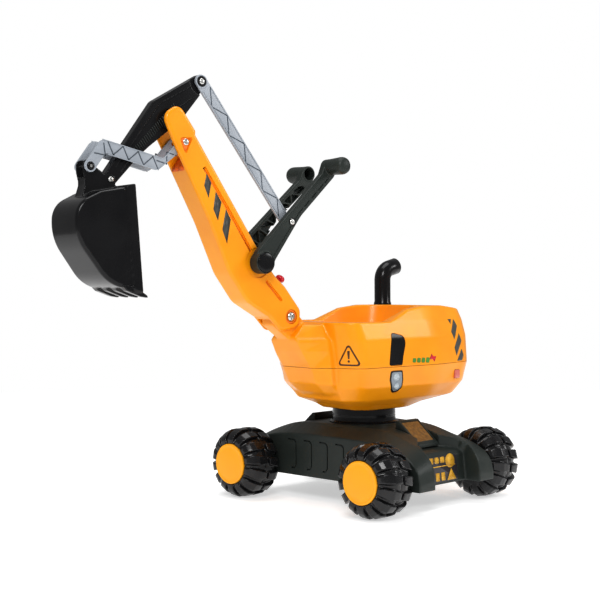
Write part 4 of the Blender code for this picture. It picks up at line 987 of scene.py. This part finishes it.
def leaned(mesh):
    """Runs a piece of the control link out towards the left lever at its lower end."""
    span = Vector(toward(DIPPER_TAIL, LOWER_LINK_PIN))
    for vert in mesh.verts:
        reach = Vector((vert.co.x - DIPPER_TAIL[0], vert.co.z - DIPPER_TAIL[1]))
        vert.co.y += LINK_LEAN * reach.dot(span) / span.length_squared
    return mesh


def build_control_link():
    low, high = LINK_SIDES
    along = Vector(toward(LOWER_LINK_PIN, DIPPER_TAIL)).normalized()
    across = Vector((-along.y, along.x))
    outline = bar(LOWER_LINK_PIN, DIPPER_TAIL, 0.012, 0.0128)
    plate = to_object("control_link_look", leaned(prism(outline, low, high - 0.0006)))
    bevelled(plate, 0.0008, 2)
    bores = [leaned(cross_rod(centre, 0.004, -0.01, 0.03)) for centre in (LOWER_LINK_PIN, DIPPER_TAIL)]
    carve(plate, bores)
    show(plate, SILVER, "silver_plastic", "control_link", ["control_link"], sharp=35)
    start = Vector(LOWER_LINK_PIN) + along * 0.018
    end = Vector(DIPPER_TAIL) - along * 0.018
    rails = []
    for sign in (1, -1):
        shift = across * sign * (LINK_HALF_WIDTH - 0.0012)
        rails.append(leaned(prism(bar(start + shift, end + shift, 0.001), high - 0.0008, high + 0.0004)))
    for centre, radius in ((LOWER_LINK_PIN, 0.0118), (DIPPER_TAIL, 0.0126)):
        ring = [(radius - 0.0026, high - 0.001), (radius, high - 0.001), (radius - 0.0003, high + 0.0003),
                (radius - 0.0022, high + 0.0003)]
        rails.append(leaned(spun(ring, 56, 1, centre)))
    put("control_link_rails", joined(rails), SILVER, "silver_plastic", "control_link", sharp=40)
    # Painted shadow: dark zigzag strips and an edge line stand in for the shadow lines of the plate's truss ribs.
    edge = across * (LINK_HALF_WIDTH - 0.0028)
    lines = zigzag(start, end, LINK_HALF_WIDTH - 0.0022, 9) + [bar(start - edge, end - edge, 0.0006)]
    ribs = joined([leaned(prism(line, high - 0.0008, high - 0.0003)) for line in lines])
    put("control_link_ribs", ribs, RIB_SHADOW_GREY, "dark_plastic", "control_link")
    washer = [(0.005, high), (0.0098, high), (0.0098, high + 0.0008), (0.005, high + 0.0008)]
    put("link_upper_washer", spun(washer, 48, 1, DIPPER_TAIL), BLACK, "black_gloss", "dipper", sharp=40)
    screw("link_upper_screw", DIPPER_TAIL, high + 0.0009, 0.0055, "dipper", "link_upper_bolt")
    hex_nut("link_upper_hex", DIPPER_TAIL, high + 0.0008, 0.0056, "dipper", "link_upper_nut")


# ---- dipper ------------------------------------------------------------------------------------
DIPPER_HALF_WIDTH = 0.01
LINE_DEPTH = 0.0014
BOSS_ENDS = (0.005, 0.0196)
RIB_COUNT = 26


def build_dipper():
    corners = end_corners(DIPPER_TAIL, toward(DIPPER_TAIL, (0.49, 0.76)), 0.012)
    corners += [(0.462, 0.73, 0.015), (0.485, 0.716, 0.014), (0.5344, 0.6785, 0.3)]
    corners += end_corners(BUCKET_PIVOT, toward(BUCKET_PIVOT, (0.56, 0.675)), 0.012)
    corners += [(0.5692, 0.6937, 0.1), (0.513, 0.77, 0.02)]
    half = DIPPER_HALF_WIDTH
    dipper = to_object("dipper_bar", prism(rounded(corners, 8), -half, half))
    bevelled(dipper, 0.002, 3)
    contours = (
        [(0.433, 0.803, 0), (0.5, 0.766, 0.016), (0.556, 0.693, 0.1), (0.59, 0.648, 0)],
        [(0.43, 0.783, 0), (0.486, 0.744, 0.02), (0.533, 0.696, 0.1), (0.58, 0.64, 0)],
    )
    for _, sy in SIDES:
        grooves = [ribbon(line, 0.0009) for line in contours]
        carve(dipper, [sided(groove, sy, half - LINE_DEPTH, half + BEYOND) for groove in grooves])
    carve(dipper, [cross_rod(DIPPER_TAIL, 0.025, LINK_SIDES[0] - 0.0022, 0.03, 64)])
    bosses = [cross_rod(DIPPER_PIVOT, 0.015, *sorted(sy * end for end in BOSS_ENDS), 56) for _, sy in SIDES]
    dipper = moulded(to_object("dipper_look", joined([taken(dipper)] + bosses)), 0.0009, 2)
    show(dipper, BLACK, "dark_plastic", "dipper", ["dipper"])
    ribs = []
    for k in range(RIB_COUNT):
        t = (k + 0.5) / RIB_COUNT
        middle = Vector((0.466, 0.765)).lerp(Vector((0.556, 0.672)), t)
        reach = Vector((0.6, 0.8)) * 0.0062
        ribs.append(bar(middle - reach, middle + reach, 0.0007))
    for side, sy in SIDES:
        strips = joined([sided(line, sy, half - 0.0006, half + 0.0003) for line in ribs])
        put("dipper_ribs_" + side, strips, CHARCOAL, "dark_plastic", "dipper")


# ---- bucket link -------------------------------------------------------------------------------
LINK_PLATE = (0.0148, 0.0195)      # distances of its two faces from the middle plane


def build_bucket_link():
    corners = end_corners(LINK_END, toward(LINK_END, (0.627, 0.669)), 0.0108)
    corners += [(0.6245, 0.694, 0.016), (0.4985, 0.6672, 0.006)]
    corners += end_corners(LINK_PIVOT, toward(LINK_PIVOT, (0.48, 0.676)), 0.011)
    corners += [(0.511, 0.644, 0.016), (0.6165, 0.669, 0.004)]
    outline = rounded(corners, 8)
    inner, outer = LINK_PLATE
    knees = [Vector(p) for p in ((0.633, 0.662), (0.615, 0.68), (0.508, 0.6555), (0.476, 0.68))]
    lines = zigzag(knees[0], knees[1], 0.0085, 2) + zigzag(knees[1], knees[2], 0.01, 7)
    lines += zigzag(knees[2], knees[3], 0.0085, 3)
    rims = [
        ribbon([(0.6235, 0.6925, 0), (0.56, 0.679, 0), (0.499, 0.666, 0.006), (0.472, 0.692, 0)], 0.0008),
        ribbon([(0.613, 0.667, 0), (0.56, 0.656, 0), (0.511, 0.6452, 0.012), (0.47, 0.679, 0)], 0.0008),
    ]
    ring = [(0.0076, outer - 0.0012), (0.0107, outer - 0.0012), (0.0105, outer + 0.0002),
            (0.0078, outer + 0.0002)]
    for side, sy in SIDES:
        plate = to_object("bucket_link_look_" + side, sided(outline, sy, inner, outer - 0.0006))
        bevelled(plate, 0.0008, 2)
        carve(plate, [sided(disc(LINK_PIVOT, 0.0043), sy, 0.01, 0.03),
                      sided(disc(LINK_END, 0.0075), sy, 0.01, 0.03)])
        show(plate, SILVER, "silver_plastic", "bucket_link", ["bucket_link_" + side], sharp=35)
        # Painted shadow: dark zigzag strips stand in for the shadow lines of the plate's truss ribs.
        ribs = joined([sided(line, sy, outer - 0.0008, outer - 0.0002) for line in lines])
        put("bucket_link_ribs_" + side, ribs, RIB_SHADOW_GREY, "dark_plastic", "bucket_link")
        edges = [sided(rim, sy, outer - 0.0008, outer + 0.0001) for rim in rims]
        edges.append(spun(ring, 56, sy, LINK_END))
        put("bucket_link_rims_" + side, joined(edges), SILVER, "silver_plastic", "bucket_link", sharp=40)


# ---- bucket ------------------------------------------------------------------------------------
EAR_OUTER = 0.0138
BUCKET_WALL = 0.004
MOUTH_TOP = (0.5805, 0.6125)
MOUTH_BOTTOM = (0.5645, 0.428)
BACK_HALF_WIDTH = 0.0475
MOUTH_HALF_WIDTH = 0.056
FLANGE_WIDTH = 0.019
FLANGE_PROUD = 0.0028
TEETH = 4
TOOTH_PITCH = 0.033
TOOTH_HALF_WIDTH = 0.0074
BUCKET_EAR = [
    (0.596, 0.599, 0), (0.5935, 0.634, 0.011), (0.615, 0.633, 0.01), (0.633, 0.644, 0.006),
    (0.637, 0.657, 0.01), (0.659, 0.657, 0.011), (0.6585, 0.635, 0.01), (0.6535, 0.615, 0.02),
    (0.663, 0.587, 0),
]
EAR_WEB = [(0.648, 0.587), (0.662, 0.588), (0.6531, 0.615), (0.6545, 0.625), (0.647, 0.625),
           (0.6455, 0.615)]
TOOTH = [
    (0.598, 0.429, 0.003), (0.606, 0.437, 0), (0.59, 0.4385, 0), (0.575, 0.433, 0.004),
    (0.557, 0.4215, 0.002), (0.5535, 0.4165, 0.001), (0.57, 0.419, 0.003),
]
PIN_BOSS = [                    # a thin boss within the link's bore, with a cap outside the plate
    (0, 0.0142), (0.0034, 0.0142), (0.0034, 0.0201), (0.006, 0.0201), (0.0062, 0.0209), (0.005, 0.022),
    (0.0028, 0.0222), (0.0023, 0.0207), (0, 0.0205),
]


def bucket_outline(inset):
    """The bucket's side, drawn in by an inset everywhere but at the mouth."""
    corners = [
        (MOUTH_TOP[0], MOUTH_TOP[1] - inset, 0), (0.643 - inset * 0.5, 0.601 - inset, 0.018),
        (0.69 - inset, 0.578 - inset * 0.5, 0.041), (0.69 - inset, 0.52, 0.085),
        (0.63 - inset * 0.6, 0.44 + inset * 0.9, 0.072),
        (MOUTH_BOTTOM[0] + 0.01, MOUTH_BOTTOM[1] + inset * 1.1, 0),
        (MOUTH_BOTTOM[0], MOUTH_BOTTOM[1] + inset * 1.1, 0),
    ]
    return rounded(corners, 10)


def bucket_mesh(inset):
    """The bucket as a solid that widens from its back to its mouth."""
    solid = prism(bucket_outline(inset), -1.0, 1.0)
    for vert in solid.verts:
        back = min(max((vert.co.x - 0.575) / 0.115, 0.0), 1.0)
        half = MOUTH_HALF_WIDTH + (BACK_HALF_WIDTH - MOUTH_HALF_WIDTH) * back - inset
        vert.co.y *= half
    return solid


def build_bucket():
    shell = to_object("bucket_body", bucket_mesh(0.0))
    bevelled(shell, 0.006, 4)
    top, bottom = Vector(MOUTH_TOP), Vector(MOUTH_BOTTOM)
    flange = rounded([
        (top.x - 0.0005, top.y + FLANGE_PROUD, 0.002), (bottom.x + 0.001, bottom.y - FLANGE_PROUD, 0.002),
        (bottom.x + FLANGE_WIDTH, bottom.y + 0.003 - FLANGE_PROUD, 0.006),
        (top.x + FLANGE_WIDTH, top.y - 0.0034 + FLANGE_PROUD, 0.006)], 4)
    half = MOUTH_HALF_WIDTH - 0.0006 + FLANGE_PROUD
    band = to_object("bucket_band", prism(flange, -half, half))
    bevelled(band, 0.0022, 3)
    solids = [taken(shell), taken(band)]
    for _, sy in SIDES:
        solids.append(sided(rounded(BUCKET_EAR, 6), sy, DIPPER_HALF_WIDTH + 0.0006, EAR_OUTER))
    solids.append(prism(EAR_WEB, -EAR_OUTER + 0.001, EAR_OUTER - 0.001))
    body = moulded(to_object("bucket_shell", joined(solids)), 0.0012, 3)
    hollow = bucket_mesh(BUCKET_WALL)
    for vert in hollow.verts:
        if vert.co.x < MOUTH_TOP[0] + 0.001:
            vert.co.x -= 0.03
    carve(body, [hollow])
    solids = [taken(body)]
    for i in range(TEETH):
        y = TOOTH_PITCH * (i - (TEETH - 1) / 2)
        tooth = prism(rounded(TOOTH, 3), y - TOOTH_HALF_WIDTH, y + TOOTH_HALF_WIDTH)
        for vert in tooth.verts:
            taper = min(max((vert.co.x - 0.5545) / 0.03, 0.0), 1.0)
            vert.co.y = y + (vert.co.y - y) * (0.62 + 0.38 * taper)
        solids.append(tooth)
    body = moulded(to_object("bucket_look", joined(solids)), 0.0012, 2)
    carve(body, [cross_rod(pivot, 0.0036, -0.05, 0.05) for pivot in (LINK_END, BUCKET_PIVOT)])
    show(body, BLACK, "black_gloss", "bucket", ["bucket"], sharp=50)
    screw("bucket_screw", BUCKET_PIVOT, EAR_OUTER + 0.0002, 0.0052, "bucket", "bucket_pivot_bolt")
    hex_nut("bucket_hex", BUCKET_PIVOT, EAR_OUTER + 0.0002, 0.0054, "bucket", "bucket_pivot_nut")
    for side, sy in SIDES:
        boss = spun(PIN_BOSS, 48, sy, LINK_END)
        put("link_pin_boss_" + side, boss, BLACK, "black_gloss", "bucket", sharp=50)


# ---- chassis -----------------------------------------------------------------------------------
CHASSIS_PROFILE = [             # station along the wheelbase, shoulder, crown and crown half width
    (0.000, 0.134, 0.1552, 0.080), (0.040, 0.134, 0.155, 0.080), (0.115, 0.132, 0.151, 0.076),
    (0.175, 0.122, 0.135, 0.074), (0.215, 0.106, 0.118, 0.072), (0.236, 0.086, 0.094, 0.070),
    (0.243, 0.060, 0.066, 0.068),
]
CHASSIS_HALF_WIDTH = 0.118
CHASSIS_BOTTOM = 0.047
CHANNEL = [(0.11, 0.15), (0.16, 0.1145), (0.185, 0.112), (0.195, 0.1085), (0.202, 0.1),
           (0.21, 0.03)]
CHANNEL_HALF_WIDTH = 0.034
CHANNEL_FLARE = 0.036
GROOVES = (0.082, 0.038, -0.006, -0.05)
PAD_OUTLINE = [(0.1115, 0.1496), (0.1115, 0.166), (0.119, 0.166), (0.17, 0.1225), (0.1715, 0.1165),
               (0.1602, 0.1151)]
PAD_HALF_WIDTH = 0.031
PANEL_SCALE = 1.38
COLLAR_TOP = 0.1847
HOLLOW_ROOF = [(0.04, 0.148), (0.105, 0.142), (0.155, 0.107), (0.205, 0.09), (0.23, 0.072), (0.237, 0.064)]
LOW_ROOF = [(0.1, 0.02), (0.1, 0.135), (0.155, 0.104), (0.18, 0.103), (0.19, 0.096), (0.2, 0.02)]
INSERT_COLUMNS = 72
INSERT_LINES = 84


def between(stations, count):
    """Stations on a smooth curve through the given ones."""
    out = []
    for i in range(len(stations) - 1):
        p0, p1 = stations[max(i - 1, 0)], stations[i]
        p2, p3 = stations[i + 1], stations[min(i + 2, len(stations) - 1)]
        for k in range(count):
            t = k / count
            out.append(tuple(
                0.5 * (2 * b + (c - a) * t + (2 * a - 5 * b + 4 * c - d) * t * t
                       + (3 * b - a - 3 * c + d) * t ** 3)
                for a, b, c, d in zip(p0, p1, p2, p3)))
    return out + [stations[-1]]


def chassis_ring(x, shoulder, crown, crown_half):
    half = CHASSIS_HALF_WIDTH
    return [(x, -half, CHASSIS_BOTTOM), (x, half, CHASSIS_BOTTOM), (x, half, shoulder),
            (x, crown_half, crown), (x, -crown_half, crown), (x, -half, shoulder)]


def channel_half(x):
    """Half the channel's width: narrow beside the step pad, flared at the end of the chassis."""
    return CHANNEL_HALF_WIDTH + CHANNEL_FLARE * min(max((x - 0.168) / 0.034, 0.0), 1.0)


def both_ends(rings):
    return [[(-x, y, z) for x, y, z in ring] for ring in reversed(rings)] + rings


def build_chassis():
    stations = between(CHASSIS_PROFILE, 4)[1:]
    shell = to_object("chassis_shell", loft(both_ends([chassis_ring(*station) for station in stations])))
    bevelled(shell, 0.006, 3)
    half = CHASSIS_HALF_WIDTH - 0.006
    middle = [[(x, -half, 0.02), (x, half, 0.02), (x, half, roof - 0.022), (x, half - 0.035, roof),
               (x, -half + 0.035, roof), (x, -half, roof - 0.022)] for x, roof in HOLLOW_ROOF[:2]]
    carve(shell, [loft(both_ends(middle))])
    for sx in (1, -1):
        for sy in (1, -1):
            rings = []
            for x, roof in HOLLOW_ROOF[1:]:
                inner = channel_half(x) + 0.005
                rings.append([(sx * x, sy * inner, 0.02), (sx * x, sy * half, 0.02),
                              (sx * x, sy * half, roof - 0.022), (sx * x, sy * (half - 0.035), roof),
                              (sx * x, sy * inner, roof)])
            rings[0] = [(sx * 0.1, y, z) for x, y, z in rings[0]]
            carve(shell, [loft(rings)])
        carve(shell, [prism([(sx * x, z) for x, z in LOW_ROOF], -CHANNEL_HALF_WIDTH, CHANNEL_HALF_WIDTH)])
        floor = CHANNEL[:2] + [(0.168, 0.114), (0.176, 0.1131)] + CHANNEL[2:]
        above = [(0.26, 0.03), (0.26, 0.2), (0.202, 0.2), (0.185, 0.2), (0.168, 0.2),
                 (CHANNEL[0][0], 0.2)]
        channel = prism([(sx * x, z) for x, z in floor + above], -1.0, 1.0)
        for vert in channel.verts:
            vert.co.y *= channel_half(abs(vert.co.x))
        bmesh.ops.triangulate(channel, faces=[f for f in channel.faces if abs(f.normal.y) > 0.5])
        carve(shell, [channel])
    flange = [(0, 0.148), (0.09, 0.148), (0.087, 0.1545), (0.079, 0.156), (0.076, 0.1552), (0, 0.1552)]
    flange_ring = turned(flange, 96, (0, 0, 1), (0, 0, 0))
    shell = moulded(to_object("chassis_look", joined([taken(shell), flange_ring])), 0.0019, 4)
    for sy in (1, -1):
        for groove in GROOVES:
            x = sy * groove
            hook = [(x + sy * 0.022, 0.12, 0), (x, 0.12, 0.009), (x, 0.062, 0.009),
                    (x + sy * 0.013, 0.062, 0)]
            carve(shell, [sided(ribbon(hook, 0.0015), sy, CHASSIS_HALF_WIDTH - 0.0032, 0.13)])
    show(shell, CHARCOAL, "dark_plastic", "chassis", ["chassis_frame"], sharp=40, turn=CHASSIS_TURN)
    collar = [(0.0135, 0.1556), (0.0715, 0.1556), (0.0715, 0.157), (0.0665, 0.16), (0.0655, 0.164),
              (0.0655, 0.17), (0.0645, 0.1706), (0.0645, 0.1722), (0.0655, 0.1728),
              (0.065, COLLAR_TOP - 0.001), (0.064, COLLAR_TOP), (0.0135, COLLAR_TOP)]
    put("collar_look", turned(collar, 120, (0, 0, 1), (0, 0, 0)), BLACK, "black_gloss", "chassis",
        ["turntable_collar"], sharp=40, turn=CHASSIS_TURN)
    for end, sx in ENDS:
        build_pad(end, sx)
        build_end_prints(end, sx)


def end_frame(sx, start, finish):
    """For a sloping face of one chassis end: a function that places points by their distances across,
    down the slope and outward, and the outward direction."""
    origin = Vector((sx * start[0], 0.0, start[1]))
    down = Vector((sx * (finish[0] - start[0]), 0, finish[1] - start[1])).normalized()
    across = Vector((0, sx, 0))
    out = across.cross(down)
    if out.z < 0:
        out = -out

    def place(u, v, lift):
        return origin + across * u + down * v + out * lift

    return place, out


def build_pad(end, sx):
    """Step pad: a dark frame with a lip and a finely ribbed insert, whose ochre is a painted orange reflection."""
    outline = rounded([(sx * x, z, 0.0012) for x, z in PAD_OUTLINE], 3)
    pad = to_object("step_pad_look_" + end, prism(outline, -PAD_HALF_WIDTH, PAD_HALF_WIDTH))
    bevelled(pad, 0.0012, 2)
    start, finish = PAD_OUTLINE[2], PAD_OUTLINE[3]
    place, out = end_frame(sx, start, finish)
    length = (Vector(finish) - Vector(start)).length
    margin = 0.0045
    half = PAD_HALF_WIDTH - margin
    well_end = length - margin - 0.004
    corners = [(-half, margin), (half, margin), (half, well_end), (-half, well_end)]
    carve(pad, [slab([place(u, v, -0.0014) for u, v in corners], [place(u, v, 0.01) for u, v in corners])])
    show(pad, CHARCOAL, "dark_plastic", "chassis", ["step_pad_" + end], sharp=35, turn=CHASSIS_TURN)
    # Painted reflection: the ribbed insert is coloured ochre for the orange reflections in its ribs.
    grid = bmesh.new()
    rows = []
    for i in range(INSERT_LINES + 1):
        row = []
        for k in range(INSERT_COLUMNS + 1):
            u = -half + 0.0006 + (2 * half - 0.0012) * k / INSERT_COLUMNS
            v = margin + 0.0006 + (length - 2 * margin - 0.0052) * i / INSERT_LINES
            rib = max(0.0, math.sin(math.pi * k / 3.0)) * 0.5 + max(0.0, math.sin(math.pi * i / 3.0)) * 0.5
            edge = 0.0 if 0 < i < INSERT_LINES and 0 < k < INSERT_COLUMNS else 1.0
            row.append(grid.verts.new(place(u, v, -(0.001 - 0.001 * rib + 0.0004 * edge))))
        rows.append(row)
    for a, b in zip(rows, rows[1:]):
        for k in range(INSERT_COLUMNS):
            grid.faces.new((a[k], a[k + 1], b[k + 1], b[k]))
    put("step_insert_" + end, thickened(grid, -out * 0.0006), OCHRE_REFLECTION, "dark_plastic", "chassis", sharp=60,
        turn=CHASSIS_TURN)


def build_end_prints(end, sx):
    """Plain pictogram shapes on the panel at the end of the channel, without lettering."""
    place, _ = end_frame(sx, CHANNEL[4], CHANNEL[5])

    def mark(name, outline, look=LABEL_YELLOW):
        lift = 0.0004 if look is PANEL_GREY else 0.0008
        scaled = [(PANEL_SCALE * u, PANEL_SCALE * v) for u, v in outline]
        plate = slab([place(u, v, lift) for u, v in scaled], [place(u, v, lift + 0.0003) for u, v in scaled])
        put(f"{name}_{end}", plate, look, "yellow_plastic", "chassis", turn=CHASSIS_TURN)

    def block(left, top, right, bottom, radius, steps):
        return rounded([(left, top, radius), (right, top, radius), (right, bottom, radius),
                        (left, bottom, radius)], steps)

    mark("panel_plate", block(-0.033, -0.001, 0.033, 0.0355, 0.003, 4), PANEL_GREY)
    for k in range(3):
        u = -0.03 + 0.0125 * k
        mark(f"panel_bar_{k}", block(u, 0.0, u + 0.0098, 0.0085, 0.002, 3))
        mark(f"panel_box_{k}", block(u, 0.022, u + 0.0086, 0.0335, 0.001, 3))
    mark("panel_line", [(-0.03, 0.0125), (0.029, 0.0125), (0.029, 0.014), (-0.03, 0.014)])
    turns = [2 * math.pi * k / 24 for k in range(24)]
    mark("panel_disc", [(0.0175 + 0.0105 * math.cos(a), 0.007 + 0.01 * math.sin(a)) for a in turns])
    mark("panel_triangle", [(0.0185, 0.018), (0.029, 0.034), (0.008, 0.034)])


build_boom()
build_levers()
build_control_link()
build_dipper()
build_bucket_link()
build_bucket()
build_chassis()


# ---- camera, floor and light -------------------------------------------------------------------
CAMERA_PLACE = (1.4551, 1.867, 0.441)
CAMERA_YAW = math.radians(231.02)
CAMERA_PITCH = math.radians(-0.79)
CAMERA_ROLL = math.radians(0.26)
FOCAL_LENGTH = 72.606
FLOOR_GLOW = 0.55
ROOM_LIGHT = 0.36
WHITE = (1.0, 1.0, 1.0, 1.0)
LAMPS = (                       # name, place, aim, size, power
    ("key", (1.9, 2.2, 2.3), (0, 0, 0.3), 1.1, 50.0),
    ("fill", (-2.2, 2.0, 1.6), (0, 0, 0.3), 0.9, 22.0),
    ("top", (0.0, 0.0, 3.0), (0, 0, 0.0), 1.8, 38.0),
)


def build_stage():
    scene = bpy.context.scene
    aim = Vector((math.cos(CAMERA_PITCH) * math.cos(CAMERA_YAW),
                  math.cos(CAMERA_PITCH) * math.sin(CAMERA_YAW), math.sin(CAMERA_PITCH)))
    data = bpy.data.cameras.new("camera")
    data.lens = FOCAL_LENGTH
    data.sensor_width = 36.0
    camera = bpy.data.objects.new("camera", data)
    scene.collection.objects.link(camera)
    camera.location = CAMERA_PLACE
    camera.rotation_mode = "QUATERNION"
    level = aim.to_track_quat("-Z", "Y")
    camera.rotation_quaternion = Matrix.Rotation(CAMERA_ROLL, 3, aim).to_quaternion() @ level
    scene.camera = camera

    mesh = bmesh.new()
    bmesh.ops.create_circle(mesh, cap_ends=True, segments=96, radius=2.8)
    bmesh.ops.translate(mesh, vec=(0, 0, -0.0002), verts=mesh.verts)
    floor = to_object("floor", mesh)
    white = plastic("floor_white", (0.9, 0.9, 0.9), (0.88, 0.88, 0.88), 0.6, grain=60.0, bump=0.0, mottle=2.0)
    glow = white.node_tree.nodes["Principled BSDF"]
    glow.inputs["Emission Color"].default_value = WHITE
    glow.inputs["Emission Strength"].default_value = FLOOR_GLOW
    floor.data.materials.append(white)

    scene.view_settings.view_transform = "Standard"
    scene.view_settings.gamma = 0.85
    world = bpy.data.worlds.new("studio")
    scene.world = world
    world.use_nodes = True
    nodes = world.node_tree.nodes
    links = world.node_tree.links
    room = nodes["Background"]
    room.inputs["Color"].default_value = WHITE
    room.inputs["Strength"].default_value = ROOM_LIGHT
    backdrop = nodes.new("ShaderNodeBackground")
    backdrop.inputs["Color"].default_value = WHITE
    backdrop.inputs["Strength"].default_value = 1.0
    seen = nodes.new("ShaderNodeLightPath")
    either = nodes.new("ShaderNodeMixShader")
    links.new(seen.outputs["Is Camera Ray"], either.inputs[0])
    links.new(room.outputs[0], either.inputs[1])
    links.new(backdrop.outputs[0], either.inputs[2])
    links.new(either.outputs[0], nodes["World Output"].inputs["Surface"])
    for name, place, target, size, power in LAMPS:
        light = bpy.data.lights.new(name, "AREA")
        light.energy = power
        light.size = size
        holder = bpy.data.objects.new(name, light)
        scene.collection.objects.link(holder)
        holder.location = place
        holder.rotation_mode = "QUATERNION"
        holder.rotation_quaternion = (Vector(target) - Vector(place)).to_track_quat("-Z", "Y")


build_stage()
